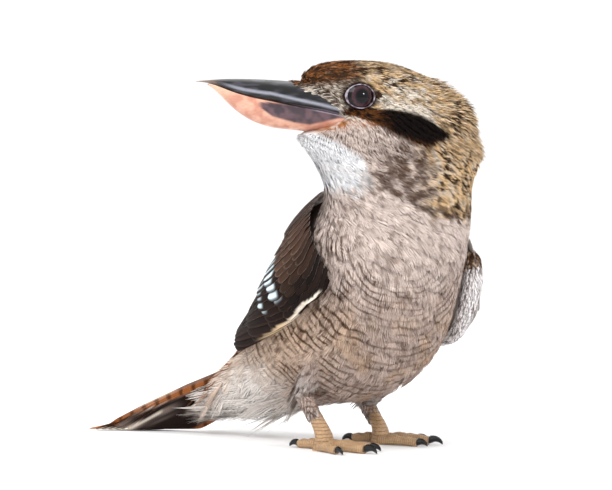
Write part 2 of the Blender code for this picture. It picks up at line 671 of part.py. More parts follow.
def wing_vane(tier, i, side):
    """One wing feather, a strip that lies along the wing and tilts so that the next covers it."""
    place = i / (tier.count - 1)
    across, root, tip = (np.interp(place, (0, 1), ends) for ends in (tier.across, tier.roots, tier.tips))
    steps = np.arange(0.0, 1.0, tier.step)
    along = np.concatenate([[root], steps[(steps > root + 0.03) & (steps < tip - 0.03)], [tip]])
    share = (along - root) / (tip - root)
    spacing = (tier.across[1] - tier.across[0]) / (tier.count - 1)
    spread = VANE_SPREAD * spacing * vane_profile(share)
    height = np.interp(along, (min(tier.roots), max(tier.tips)), (tier.low, tier.high))
    edges, thick = [], []
    for way in (-1, 1):
        point, normal = wing_surface(along, across + way * spread, side)
        rise = height - way * VANE_STEP[side] * spread / spacing
        edges.append(point + normal * rise[:, None])
        thick.append(normal * VANE_THICK / 2)
    edges, thick = np.stack(edges, 1), np.stack(thick, 1)
    return vane(edges + thick, edges - thick)


def wing_core(side):
    """The arm and its small coverts: a thick patch over the shoulder, sunk into the torso."""
    along = np.linspace(CORE_ALONG[0], CORE_ALONG[-1], 11)[:, None]
    across = np.linspace(-0.02, 1.02, 11)[None, :]
    along, across = np.broadcast_arrays(along, across)
    rim = np.clip(np.minimum(across + 0.02, 1.02 - across) / 0.22, 0, 1)
    end = np.clip((CORE_ALONG[-1] - along) / 0.14, 0, 1)
    surface, normal = wing_surface(along, across, side)
    height = np.interp(along, CORE_ALONG, CORE_HEIGHT) - CORE_HEIGHT[0]
    outer = surface + normal * (CORE_HEIGHT[0] + height * np.sqrt(rim * (2 - rim)))[..., None]
    depth = 0.0035 + (WING_DEPTH[side] - 0.0035) * np.sqrt(rim * (2 - rim)) * (0.4 + 0.6 * end)
    inner = surface - normal * depth[..., None]
    rows, columns = along.shape
    points = np.concatenate([outer.reshape(-1, 3), inner.reshape(-1, 3)])
    faces = []
    layer = rows * columns
    for i in range(rows - 1):
        for j in range(columns - 1):
            a = i * columns + j
            quad = (a, a + 1, a + columns + 1, a + columns)
            faces.append(quad)
            faces.append(tuple(layer + k for k in quad[::-1]))
    border = [j for j in range(columns)]
    border += [i * columns + columns - 1 for i in range(1, rows)]
    border += [(rows - 1) * columns + j for j in range(columns - 2, -1, -1)]
    border += [i * columns for i in range(rows - 2, 0, -1)]
    for a, b in zip(border, border[1:] + border[:1]):
        faces.append((a, a + layer, b + layer, b))
    return mesh_object("core", points, faces)


def make_wing(name, side, cutters):
    """One folded wing: its core with tiers of flight feathers, coverts and scapulars."""
    wing = wing_core(side)
    wing.name = wing.data.name = name
    wing.data.materials.append(finish("plumage_wing"))
    vanes = []
    for tier in TIERS:
        vanes += [wing_vane(tier, i, side) for i in range(tier.count)]
    boolean(wing, vanes, "UNION", "MANIFOLD")
    boolean(wing, [grown(cutter, 2 * GAP) for cutter in cutters], "DIFFERENCE", "MANIFOLD")
    return keep_largest(wing)


def tail_point(back, up, layer=0.0):
    """A point of the tail's sheet, which bends flat where it meets the floor, and its normal."""
    back, up = np.broadcast_arrays(np.asarray(back, float), np.asarray(up, float))
    flat = np.array(TAIL_TIP) + back[..., None] * np.array(TAIL_BACK) + up[..., None] * np.array(TAIL_UP)
    height = flat[..., 2] - 0.0012
    root = np.sqrt(height**2 + TAIL_BEND**2)
    slope = 0.5 * (1 + height / root)
    flat[..., 2] = 0.5 * (height + root)
    plane = np.cross(TAIL_UP, TAIL_BACK)
    plane /= np.linalg.norm(plane) * np.sign(plane[2])
    normal = slope[..., None] * plane + (1 - slope)[..., None] * np.array([0.0, 0.0, 1.0])
    normal /= np.linalg.norm(normal, axis=-1, keepdims=True)
    return flat + normal * np.asarray(layer)[..., None], normal


def tail_vane(root_up, tip_up, end, half, layer, start=TAIL_START, stations=7):
    """One tail feather, from where it starts up the sheet to its tip, at its layer or layers."""
    share = np.linspace(0, 1, stations)
    back, up = start + (end - start) * share, root_up + (tip_up - root_up) * share**1.15
    rise = layer(back) if callable(layer) else layer + 0 * back
    half = half * vane_profile(share)
    faces = []
    for side in (1, -1):
        edges = [tail_point(back, up + way * half, rise + side * VANE_THICK / 2)[0] for way in (-1, 1)]
        faces.append(np.stack(edges, 1))
    return vane(*faces)


def make_tail(cutters):
    """The tail: a short core with twelve flight feathers and the coverts above and below it."""
    share = np.linspace(0, 1, 8)
    path, _ = tail_point(TAIL_START + 0.040 * share, -0.0200 - 0.0010 * share, 0.0040)
    radii = np.interp(share, (0, 0.5, 1), (0.0085, 0.0075, 0.0040))
    wide = np.interp(share, (0, 0.5, 1), (1.5, 1.9, 3.2))
    tail = loft("tail", tube_rings(path, radii, wide, 16, TAIL_UP), "plumage_tail")
    vanes = []
    levels = TAIL_PAIRS - 0.5
    for i in range(2 * TAIL_PAIRS):
        place = (i - levels) / levels
        root_up, tip_up = (np.interp(place, (-1, 0, 1), row) for row in (TAIL_ROOTS, TAIL_TIPS))
        level = levels - abs(i - levels) + 0.5 * (place > 0)

        def layer(back, level=level):
            under = level - levels * (1 + back / -TAIL_OUTER_END)
            return 0.0006 + VANE_LIFT * np.clip(np.minimum(level, under), 0, None)

        vanes.append(tail_vane(root_up, tip_up, TAIL_OUTER_END * abs(place), TAIL_HALF_WIDTH, layer))
    top = 0.0006 + VANE_LIFT * (levels + 1.3)
    for i in range(5):
        up = -0.0130 - 0.0044 * i
        vanes.append(tail_vane(up, up - 0.001, -0.072, 0.0066, top + 0.0008 * i, stations=4))
        vanes.append(tail_vane(up, up - 0.002, -0.060, 0.0070, -0.0010 - 0.0008 * i, stations=4))
    boolean(tail, vanes, "UNION", "MANIFOLD")
    boolean(tail, [grown(cutter) for cutter in cutters], "DIFFERENCE", "MANIFOLD")
    return keep_largest(tail)


def centre_on_floor():
    """Moves every object so that the middle of the bird's box is over the origin."""
    graph = bpy.context.evaluated_depsgraph_get()
    objects = [o for o in bpy.context.scene.objects if o.type == "MESH"]
    corners = np.array([v.co for o in objects for v in o.evaluated_get(graph).data.vertices])
    middle = (corners.min(0) + corners.max(0)) / 2
    for obj in objects:
        for vertex in obj.data.vertices:
            vertex.co.x -= middle[0]
            vertex.co.y -= middle[1]


def main():
    for obj in list(bpy.data.objects):
        bpy.data.objects.remove(obj)
    head, body = make_body()
    make_leg("right", RIGHT_HIP, RIGHT_KNEE, RIGHT_ANKLE, RIGHT_FOOT, RIGHT_FOOT_YAW, -1, body)
    make_leg("left", LEFT_HIP, LEFT_KNEE, LEFT_ANKLE, LEFT_FOOT, LEFT_FOOT_YAW, 1, body)
    make_wing("wing_right", RIGHT_WING, [body])
    make_wing("wing_left", LEFT_WING, [body])
    make_tail([body])
    make_bill(body)
    make_eyes(head)
    discard([body])
    centre_on_floor()


main()
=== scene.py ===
"""A laughing kookaburra at life size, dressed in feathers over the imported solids.

The bird stands on the floor and looks back over its right shoulder. One skin replaces the
solids of flesh, and tufts and vanes of solid mesh lie over it: fine tufts on head and body,
tiers of broad vanes on wings and tail. Shapes are worked out in the part's own plan, whose
origin is between the feet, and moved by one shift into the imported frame.
"""

from __future__ import annotations

import itertools
import logging
import math
from dataclasses import dataclass
from enum import Enum
from typing import ClassVar

import bpy
import numpy as np
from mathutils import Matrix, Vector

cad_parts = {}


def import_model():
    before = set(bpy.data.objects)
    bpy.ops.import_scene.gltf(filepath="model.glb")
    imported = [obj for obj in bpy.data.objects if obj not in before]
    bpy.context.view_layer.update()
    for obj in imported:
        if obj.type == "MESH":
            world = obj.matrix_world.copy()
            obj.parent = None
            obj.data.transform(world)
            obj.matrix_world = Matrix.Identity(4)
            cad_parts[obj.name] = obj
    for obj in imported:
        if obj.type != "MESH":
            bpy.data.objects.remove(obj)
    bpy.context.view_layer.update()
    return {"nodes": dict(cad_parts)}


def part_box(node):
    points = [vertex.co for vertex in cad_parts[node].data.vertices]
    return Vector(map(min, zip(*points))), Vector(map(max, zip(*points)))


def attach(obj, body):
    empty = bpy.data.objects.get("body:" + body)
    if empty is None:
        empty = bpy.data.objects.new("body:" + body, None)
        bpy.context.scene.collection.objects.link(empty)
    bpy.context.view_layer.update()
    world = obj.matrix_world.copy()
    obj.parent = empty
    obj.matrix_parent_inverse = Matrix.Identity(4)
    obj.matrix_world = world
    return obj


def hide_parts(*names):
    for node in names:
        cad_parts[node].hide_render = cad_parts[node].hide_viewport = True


log = logging.getLogger("kookaburra")
Array, Pair, Triple = np.ndarray, tuple[float, float], tuple[float, float, float]
Material, Socket, Piece = bpy.types.Material, bpy.types.NodeSocket, bpy.types.Object
UP = np.array([0.0, 0.0, 1.0])
# Factors that mix a lattice corner's three numbers into one.
HASH = np.array([73856093, 19349663, 83492791])
# The number whose fourth power is one more than itself: its powers scatter points evenly.
SCATTER = 1.2207440846057596


# Numbers and fields.


def tint(red: float, green: float, blue: float) -> Array:
    """A display colour of 0 to 255 a channel as linear light.

    Args:
        red: red channel.
        green: green channel.
        blue: blue channel.

    Returns:
        Three linear values of 0 to 1.
    """
    c = np.array([red, green, blue]) / 255.0
    return np.where(c <= 0.04045, c / 12.92, ((c + 0.055) / 1.055) ** 2.4)


def ease(low: float, high: float, x: Array) -> Array:
    """0 below low, 1 above high, and 3t^2 - 2t^3 between; low may be the larger."""
    t = np.clip((np.asarray(x, float) - low) / (high - low), 0, 1)
    return t * t * (3 - 2 * t)


def unit(v: Array) -> Array:
    """The vectors v divided by their lengths."""
    return v / np.maximum(np.linalg.norm(v, axis=-1, keepdims=True), 1e-12)


def grain(points: Array, size: float | Array, seed: int = 0) -> Array:
    """Smooth noise: hashed values at lattice corners, blended with eased weights.

    Args:
        points: places, (..., 3), in metres.
        size: cell size in metres, one number or three.
        seed: which noise.

    Returns:
        Values of 0 to 1, (...).
    """
    p = points / np.asarray(size)
    cell = np.floor(p).astype(np.int64)
    f = p - cell
    f = f * f * (3 - 2 * f)
    total = np.zeros(p.shape[:-1])
    for corner in itertools.product((0, 1), repeat=3):
        c = cell + np.array(corner)
        h = np.bitwise_xor.reduce(c * HASH, axis=-1) ^ (seed * 7919 + 13)
        h = (h ^ (h >> 13)) * 1274126177 & 0x7FFFFFFF
        h = h ^ (h >> 15)
        weight = np.prod(np.where(np.array(corner) == 1, f, 1 - f), axis=-1)
        total += weight * (h & 0xFFFF) / 65535.0
    return total


def spread(count: int, seed: float = 0.5) -> Array:
    """Evenly scattered points in the unit cube, (count, 3)."""
    n = np.arange(1, count + 1)[:, None]
    return (seed + n / SCATTER ** np.arange(1, 4)) % 1.0


def chance(count: int, seed: int, columns: int = 1) -> Array:
    """Seeded random numbers of 0 to 1, (count, columns)."""
    return np.random.default_rng(seed).random((count, columns))


def mix(a: Array, b: Array, share: Array) -> Array:
    """Colours a turned into b by share of 0 to 1."""
    share = np.asarray(share, float)[..., None]
    return a * (1 - share) + b * share


def layers(colour: Array, *coats: tuple[Array, Array]) -> Array:
    """A colour with others laid over it in turn, each given as (colour, share)."""
    for over, share in coats:
        colour = mix(colour, over, share)
    return colour


def band(x: Array, rise: Pair, fall: Pair) -> Array:
    """1 where x lies between rise and fall, easing to 0 over each of the two."""
    return ease(*rise, x) * ease(*fall, x)


def matched(*values: Array) -> list[Array]:
    """The values as arrays of numbers, all in one shape."""
    return np.broadcast_arrays(*(np.asarray(value, float) for value in values))


class Spline:
    """A natural cubic spline: its second derivatives solve a band of equations once."""

    def __init__(self, knots: Array, values: Array) -> None:
        """Solves for the bends at the knots.

        Args:
            knots: rising places of the knots.
            values: rows of values at the knots.
        """
        knots, values = np.asarray(knots, float), np.asarray(values, float)
        n, h = len(knots), np.diff(knots)
        matrix, right = np.eye(n), np.zeros((n, values.shape[1]))
        for i in range(1, n - 1):
            matrix[i, i - 1 : i + 2] = h[i - 1], 2 * (h[i - 1] + h[i]), h[i]
            right[i] = 6 * ((values[i + 1] - values[i]) / h[i] - (values[i] - values[i - 1]) / h[i - 1])
        self.knots, self.values = knots, values
        self.bend = np.linalg.solve(matrix, right)

    def __call__(self, at: Array) -> Array:
        """Values at the places in at."""
        at = np.asarray(at, float)
        i = np.clip(np.searchsorted(self.knots, at) - 1, 0, len(self.knots) - 2)
        step, left = np.diff(self.knots)[i][..., None], (at - self.knots[i])[..., None]
        rest = step - left
        bend, values = self.bend, self.values
        return (
            (bend[i] * rest**3 + bend[i + 1] * left**3) / (6 * step)
            + (values[i] / step - bend[i] * step / 6) * rest
            + (values[i + 1] / step - bend[i + 1] * step / 6) * left
        )


def heading(yaw: Array, pitch: Array) -> tuple[Array, Array]:
    """Front and left directions for a turn to the bird's right and a lean, in degrees."""
    yaw, pitch = np.radians(yaw), np.radians(pitch)
    flat = np.stack([-np.sin(yaw), -np.cos(yaw), 0 * yaw], -1)
    left = np.stack([np.cos(yaw), -np.sin(yaw), 0 * yaw], -1)
    return flat * np.cos(pitch)[..., None] - UP * np.sin(pitch)[..., None], left


class Surface:
    """A closed form whose points follow from a place along it and an angle round it."""

    last: float = 1.0
    step: float = 0.02
    flow: float = 1.0
    deep: float = 0.0018

    def point(self, place: Array, angle: Array, grow: Array | float = 0.0) -> Array:
        """Points of the surface, or so far outside it."""
        raise NotImplementedError

    def slopes(self, place: Array, angle: Array) -> tuple[Array, Array]:
        """Changes of the point for a place more and for a radian more, from small steps."""
        s = self.step
        along = self.point(place + s, angle) - self.point(place - s, angle)
        around = self.point(place, angle + 0.02) - self.point(place, angle - 0.02)
        return along / (2 * s), around / 0.04

    def normal(self, place: Array, angle: Array) -> Array:
        """Outward unit normals, from the two slopes."""
        along, around = self.slopes(place, angle)
        return unit(np.cross(around, along))


class Limb(Surface):
    """A round tube along a splined path, from hip to ankle: place runs from 0 to 1."""

    step = 0.004

    def __init__(self, path: Array, radii: Array, knots: Array, deep: float = 0.0018) -> None:
        """Splines path and radius together over the knots; deep is how deep roots lie."""
        self.values = Spline(knots, np.column_stack([path, radii]))
        self.deep = deep

    def point(self, place: Array, angle: Array, grow: Array | float = 0.0) -> Array:
        """Points round the path, level with the bird's left, with angle 0 to the front."""
        place, angle = matched(place, angle)
        values = self.values(place)
        way = unit(self.values(place + 0.01)[..., :3] - self.values(place - 0.01)[..., :3])
        front = unit(np.cross(np.array([1.0, 0.0, 0.0]), way))
        front = np.where(front[..., 1:2] > 0, -front, front)
        left = np.cross(front, way)
        left = np.where(left[..., :1] < 0, -left, left)
        radius = np.maximum(values[..., 3:] + np.asarray(grow)[..., None], 0.0)
        return values[..., :3] + radius * (np.cos(angle)[..., None] * front + np.sin(angle)[..., None] * left)

    def normal(self, place: Array, angle: Array) -> Array:
        """Outward unit normals, whichever way round the slopes run."""
        along, around = self.slopes(place, angle)
        out = self.point(place, angle) - self.values(np.asarray(place, float))[..., :3]
        cross = unit(np.cross(around, along))
        return cross * np.sign((cross * out).sum(-1, keepdims=True))


class Stack(Surface):
    """A smooth shape through egg-shaped sections: place counts sections, angle goes round."""

    flow = -1.0

    def __init__(self, *sections: tuple[float, ...]) -> None:
        """Splines every value of the sections over how far they reach from each other.

        Args:
            sections: centre, turn and lean in degrees, reach to front, back and side, power.
        """
        rows = np.array(sections)
        moves = np.diff(rows[:, [0, 1, 2, 5, 6]], axis=0)
        self.knots = np.concatenate([[0], np.cumsum(np.linalg.norm(moves, axis=1))])
        self.last = len(sections) - 1
        self.values = Spline(self.knots, rows)

    def point(self, place: Array, angle: Array, grow: Array | float = 0.0) -> Array:
        """Points of the surface, where radius follows (cos/reach)^p + (sin/side)^p = 1.

        Args:
            place: where along the stack, 0 to the last section.
            angle: turn from front to left, radians.
            grow: how far outside the surface, metres.

        Returns:
            Points, (..., 3).
        """
        place, angle = matched(place, angle)
        at = np.interp(place, np.arange(self.last + 1), self.knots)
        at += np.minimum(place, 0) * self.knots[1]
        at += np.maximum(place - self.last, 0) * (self.knots[-1] - self.knots[-2])
        values = self.values(at)
        front_way, left_way = heading(values[..., 3], values[..., 4])
        forward, across = np.cos(angle), np.sin(angle)
        reach = np.maximum(np.where(forward > 0, values[..., 5], values[..., 6]), 1e-6)
        power = np.where(forward > 0, values[..., 8], 2.0)
        side = np.maximum(values[..., 7], 1e-6)
        size = (np.abs(forward) / reach) ** power + (np.abs(across) / side) ** power
        radius = (np.maximum(size ** (-1 / power) + grow, 0))[..., None]
        return values[..., :3] + radius * (forward[..., None] * front_way + across[..., None] * left_way)


# The line that the head turns about, its front and left, and the eyes' measures.
HEAD_AXIS = np.array([-0.0143, -0.0138, 0.0])
HEAD_FRONT, HEAD_LEFT = heading(np.float64(117), np.float64(0))
EYE_HEIGHT, EYE_OFFSET, EYE_RADIUS = 0.2093, 0.0143, 0.01
OPENING_LONG, OPENING_HIGH, OPENING_BACK = 0.0089, 0.0069, 0.0011


def head_point(ahead: Array, left: Array, height: Array) -> Array:
    """Points given ahead of and left of the middle of the eyes, and above the floor."""
    ahead, left, height = (np.asarray(v, float)[..., None] for v in (ahead, left, height))
    return ahead * HEAD_FRONT + left * HEAD_LEFT + HEAD_AXIS + height * UP


def head_place(points: Array) -> tuple[Array, Array, Array]:
    """How far points are ahead of and left of the middle of the eyes, and how high."""
    moved = points - HEAD_AXIS
    return moved @ HEAD_FRONT, moved @ HEAD_LEFT, points[..., 2]


def eye_ring(ahead: Array, height: Array) -> Array:
    """How far points lie from the middle of the eye's opening, where its rim is at 1."""
    return np.hypot((ahead + OPENING_BACK) / OPENING_LONG, (height - EYE_HEIGHT) / OPENING_HIGH)


def eye_side(ahead: Array, height: Array) -> Array:
    """How far to the side the eyeball's surface lies, kept from falling away behind."""
    return EYE_OFFSET + np.sqrt(np.maximum(EYE_RADIUS**2 - ahead**2 - (height - EYE_HEIGHT) ** 2, 0.0045**2))


class Bird(Stack):
    """The body from vent to crown, whose sides meet the rims of the eyes' openings."""

    # How deep the sides lie in the eyeball, at the rim of the opening and inside it.
    AT_RIM, INSIDE = 0.0005, 0.0014

    def point(self, place: Array, angle: Array, grow: Array | float = 0.0) -> Array:
        """Points of the surface: level with each rim at it, and behind the eyeball inside it."""
        points = super().point(place, angle, grow)
        ahead, left, height = head_place(points)
        away = np.maximum(eye_ring(ahead, height), 1e-6)
        near = 1 / np.maximum(away, 1.0)
        rim_ahead = (ahead + OPENING_BACK) * near - OPENING_BACK
        rim = eye_side(rim_ahead, EYE_HEIGHT + (height - EYE_HEIGHT) * near) - self.AT_RIM
        inner = eye_side(ahead, height) - self.INSIDE
        goal = rim + (inner - rim) * ease(0.98, 0.86, away) + grow
        share = ease(2.3, 1.0, away) * ease(0.008, 0.012, np.abs(left))
        moved = np.sign(left) * (np.abs(left) * (1 - share) + goal * share)
        return points + (moved - left)[..., None] * HEAD_LEFT


# Sections of the body from vent to crown.
BODY = Bird(
    (-0.013, 0.1, 0.03, -22, 64, 0.0165, 0.011, 0.02, 2.0),
    (-0.006, 0.079, 0.043, -15, 56, 0.031, 0.015, 0.028, 2.0),
    (-0.001, 0.056, 0.056, -9, 48, 0.042, 0.0215, 0.035, 2.1),
    (0.003, 0.031, 0.071, -3, 40, 0.061, 0.03, 0.046, 2.1),
    (0.006, 0.008, 0.088, 0, 34, 0.064, 0.0375, 0.052, 2.1),
    (0.009, -0.009, 0.108, 10, 24, 0.055, 0.042, 0.05, 2.1),
    (0.012, -0.018, 0.128, 22, 14, 0.048, 0.045, 0.048, 2.1),
    (0.016, -0.0225, 0.149, 58, 6, 0.046, 0.0485, 0.044, 2.0),
    (0.014, -0.024, 0.165, 95, 0, 0.049, 0.052, 0.04, 2.0),
    (0.0075, -0.024, 0.177, 114, 0, 0.05, 0.0565, 0.035, 1.9),
    (0.004, -0.0224, 0.1865, 117, 0, 0.0515, 0.0575, 0.031, 1.8),
    (0.004, -0.0224, 0.194, 117, 0, 0.04, 0.0565, 0.029, 1.8),
    (0.004, -0.0224, 0.201, 117, 0, 0.0385, 0.0545, 0.027, 1.8),
    (0.004, -0.0224, 0.209, 117, 0, 0.045, 0.048, 0.025, 1.8),
    (0.002, -0.0214, 0.217, 117, 0, 0.048, 0.0395, 0.0225, 1.8),
    (-0.003, -0.0189, 0.224, 117, 0, 0.04, 0.0305, 0.0185, 1.8),
    (-0.007, -0.0168, 0.229, 117, 0, 0.027, 0.021, 0.0125, 1.9),
    (-0.008, -0.0163, 0.2312, 117, 0, 0.0, 0.0, 0.0, 2.0),
)
# The last place of the body, at the crown.
BODY_TOP = 17.0
# The surface that the folded wings lie round, from past the tail's root up to the shoulders.
SHEATH = Stack(
    (-0.027, 0.124, 0.03, -24, 66, 0.012, 0.013, 0.023, 2.0),
    (-0.015, 0.101, 0.034, -20, 64, 0.016, 0.015, 0.027, 2.0),
    (-0.008, 0.079, 0.044, -14, 60, 0.024, 0.018, 0.034, 2.0),
    (-0.002, 0.056, 0.057, -8, 55, 0.033, 0.025, 0.041, 2.1),
    (0.002, 0.032, 0.071, -2, 50, 0.043, 0.033, 0.048, 2.1),
    (0.005, 0.008, 0.088, 5, 42, 0.05, 0.039, 0.053, 2.1),
    (0.008, -0.01, 0.108, 12, 30, 0.051, 0.0425, 0.054, 2.1),
    (0.0115, -0.018, 0.128, 17, 17, 0.047, 0.043, 0.051, 2.1),
    (0.016, -0.0225, 0.149, 22, 6, 0.045, 0.042, 0.042, 2.0),
)


def thigh(hip: tuple[float, ...], knee: tuple[float, ...], ankle: tuple[float, ...]) -> Limb:
    """The feathered thigh and shin from hip to ankle."""
    middle = 0.5 * np.add(knee, ankle) + np.array([0.0, -0.0015, 0.0])
    radii = np.array([0.015, 0.0112, 0.008, 0.0052])
    return Limb(np.array([hip, knee, middle, ankle]), radii, np.array([0, 0.4, 0.75, 1]))


def sock(ankle: tuple[float, ...], palm: tuple[float, ...]) -> Limb:
    """The top half of the shank, which small feathers still cover."""
    path = [np.add(ankle, share * np.subtract(palm, ankle)) for share in (-0.1, 0.5)]
    return Limb(np.array(path), np.array([0.0047, 0.0043]), np.array([0.0, 1.0]), 0.0002)


# Feathered thighs with their shins, from hip over knee to ankle.
THIGHS = {
    "right": thigh((-0.018, 0.01, 0.084), (-0.026, 0.000, 0.06), (-0.0297, 0.0105, 0.0335)),
    "left": thigh((0.026, 0.012, 0.078), (0.024, -0.008, 0.05), (0.031, 0.021, 0.023)),
}
# The feathered front edge of the left wing, from the shoulder down.
PAD = Limb(
    np.array(
        [
            (0.0635, -0.037, 0.1177),
            (0.0642, -0.0379, 0.111),
            (0.064, -0.0381, 0.1032),
            (0.0628, -0.0384, 0.0953),
            (0.0611, -0.0376, 0.0869),
            (0.0608, -0.0345, 0.0789),
            (0.0631, -0.0279, 0.0711),
            (0.0652, -0.0184, 0.0644),
            (0.0663, -0.0085, 0.0608),
        ]
    ),
    np.array([0.0032, 0.0052, 0.006, 0.0062, 0.0059, 0.0053, 0.0046, 0.0037, 0.0024]),
    np.array([0, 0.094, 0.201, 0.311, 0.429, 0.548, 0.692, 0.854, 1.0]),
    0.0006,
)
# The tops of the shanks, from the ankle towards the palm.
SOCKS = {
    "right": sock((-0.0297, 0.0105, 0.0335), (-0.0205, 0.002, 0.0075)),
    "left": sock((0.031, 0.021, 0.023), (0.028, 0.005, 0.0075)),
}


class BillSide(Surface):
    """The sides and top of the bill's base, which feathers cover down to a slanting line."""

    step = 0.01
    flow = -1.0
    deep = 0.0003

    def point(self, place: Array, angle: Array, grow: Array | float = 0.0) -> Array:
        """Points where place 0 to 1 runs ahead along the base and angle up from its left."""
        place, angle = matched(place, angle)
        ahead = 0.003 + 0.038 * place
        ridge, mouth, _, half = Bill.values(ahead)
        widest = mouth + 0.28 * (ridge - mouth)
        up = np.where(np.sin(angle) > 0, ridge - widest, widest - mouth) + grow
        return head_point(ahead, (half + grow) * np.cos(angle), widest + up * np.sin(angle))

    def normal(self, place: Array, angle: Array) -> Array:
        """Outward unit normals, whichever way round the slopes run."""
        cross = unit(np.cross(*self.slopes(place, angle)))
        out = np.cos(angle)[..., None] * HEAD_LEFT + np.sin(angle)[..., None] * UP
        return cross * np.sign((cross * out).sum(-1, keepdims=True))


class Underside(Surface):
    """The underside of the tail's root, where place 0 to 1 runs back and angle across."""

    step = 0.01
    deep = 0.0004

    @staticmethod
    def on_sheet(place: Array, angle: Array, layer: Array | float) -> tuple[Array, Array]:
        """A point of the tail's sheet or so far over it, and the sheet's normal there."""
        place, angle = matched(place, angle)
        return Tail.sheet(-0.116 + 0.016 * place, -0.0215 + 0.012 * angle / math.pi, np.asarray(layer))

    def point(self, place: Array, angle: Array, grow: Array | float = 0.0) -> Array:
        """Points just under the tail's sheet."""
        return self.on_sheet(place, angle, -0.0008 - grow)[0]

    def normal(self, place: Array, angle: Array) -> Array:
        """Away from the sheet's lower face."""
        return -self.on_sheet(place, angle, 0.0)[1]


# Meshes.


def put(name: str, data: bpy.types.ID) -> Piece:
    """A new object with this data, put in the scene."""
    thing = bpy.data.objects.new(name, data)
    bpy.context.scene.collection.objects.link(thing)
    return thing


class Builder:
    """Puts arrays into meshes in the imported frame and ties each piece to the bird."""

    def __init__(self, shift: Array) -> None:
        """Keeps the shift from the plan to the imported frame."""
        self.shift = shift

    def piece(
        self,
        name: str,
        points: Array,
        quads: Array,
        material: Material,
        tris: Array | None = None,
        uv: Array | None = None,
        fields: dict[str, Array] | None = None,
        slot: str | None = None,
        replaces: tuple[str, ...] = (),
    ) -> Piece:
        """One piece from whole arrays.

        Args:
            name: the piece's name.
            points: corners in the plan, (n, 3).
            quads: four corner numbers a face, (f, 4).
            material: its finish.
            tris: three corner numbers a face, (g, 3).
            uv: a place on the bake map for each corner, (n, 2).
            fields: values kept at the corners, three each, by attribute name.
            slot: not used.
            replaces: solids that it stands for.

        Returns:
            The new object.
        """
        quads = np.asarray(quads, np.int64).reshape(-1, 4)
        tris = np.zeros((0, 3), np.int64) if tris is None else np.asarray(tris, np.int64).reshape(-1, 3)
        mesh = bpy.data.meshes.new(name)
        mesh.vertices.add(len(points))
        mesh.vertices.foreach_set("co", (points + self.shift).astype(np.float32).ravel())
        corners = np.concatenate([quads.ravel(), tris.ravel()])
        mesh.loops.add(len(corners))
        mesh.loops.foreach_set("vertex_index", corners.astype(np.int32))
        starts = np.concatenate([np.arange(len(quads)) * 4, len(quads) * 4 + np.arange(len(tris)) * 3])
        mesh.polygons.add(len(starts))
        mesh.polygons.foreach_set("loop_start", starts.astype(np.int32))
        mesh.update(calc_edges=True)
        mesh.polygons.foreach_set("use_smooth", np.full(len(starts), True))
        if uv is not None:
            layer = mesh.uv_layers.new(name="OFBake")
            layer.data.foreach_set("uv", uv[corners].astype(np.float32).ravel())
        for label, values in (fields or {}).items():
            attribute = mesh.attributes.new(label, "FLOAT_VECTOR", "POINT")
            attribute.data.foreach_set("vector", values.astype(np.float32).ravel())
        mesh.materials.append(material)
        obj = put(name, mesh)
        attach(obj, "root")
        if replaces:
            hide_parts(*replaces)
        log.info("%s: %d triangles", name, 2 * len(quads) + len(tris))
        return obj


def grid_quads(rows: int, columns: int, wrap: bool = False) -> Array:
    """Faces of a grid of rows by columns of corners, closed across columns where wrap."""
    i = np.arange(rows - 1)[:, None]
    j = np.arange(columns if wrap else columns - 1)[None, :]
    k = (j + 1) % columns
    a, b = i * columns + j, i * columns + k
    return np.stack([a, b, b + columns, a + columns], -1).reshape(-1, 4)


def capped(points: Array, rings: int, around: int) -> tuple[Array, Array, Array]:
    """Corners, quads and end triangles of rings closed at both ends by a middle point each."""
    ends = np.stack([points[:around].mean(0), points[-around:].mean(0)])
    ring, first, last = np.arange(around), len(points), (rings - 1) * around
    start = np.stack([np.roll(ring, -1), ring, np.full(around, first)], 1)
    end = np.stack([last + ring, last + np.roll(ring, -1), np.full(around, first + 1)], 1)
    return np.vstack([points, ends]), grid_quads(rings, around, wrap=True), np.vstack([start, end])


def shell_quads(rows: int, columns: int) -> Array:
    """Faces of a closed shell: one grid, a second one under it, and a wall round their rim."""
    top, per = grid_quads(rows, columns), rows * columns
    first, right = np.arange(columns), np.arange(1, rows) * columns + columns - 1
    last = (rows - 1) * columns + np.arange(columns - 2, -1, -1)
    rim = np.concatenate([first, right, last, np.arange(rows - 2, 0, -1) * columns])
    after = np.roll(rim, -1)
    wall = np.stack([after, rim, rim + per, after + per], 1)
    return np.vstack([top, top[:, ::-1] + per, wall])


def repeat_faces(faces: Array, count: int, corners: int) -> Array:
    """The same faces for each of count shapes of so many corners."""
    return (faces[None] + (np.arange(count) * corners)[:, None, None]).reshape(-1, faces.shape[1])


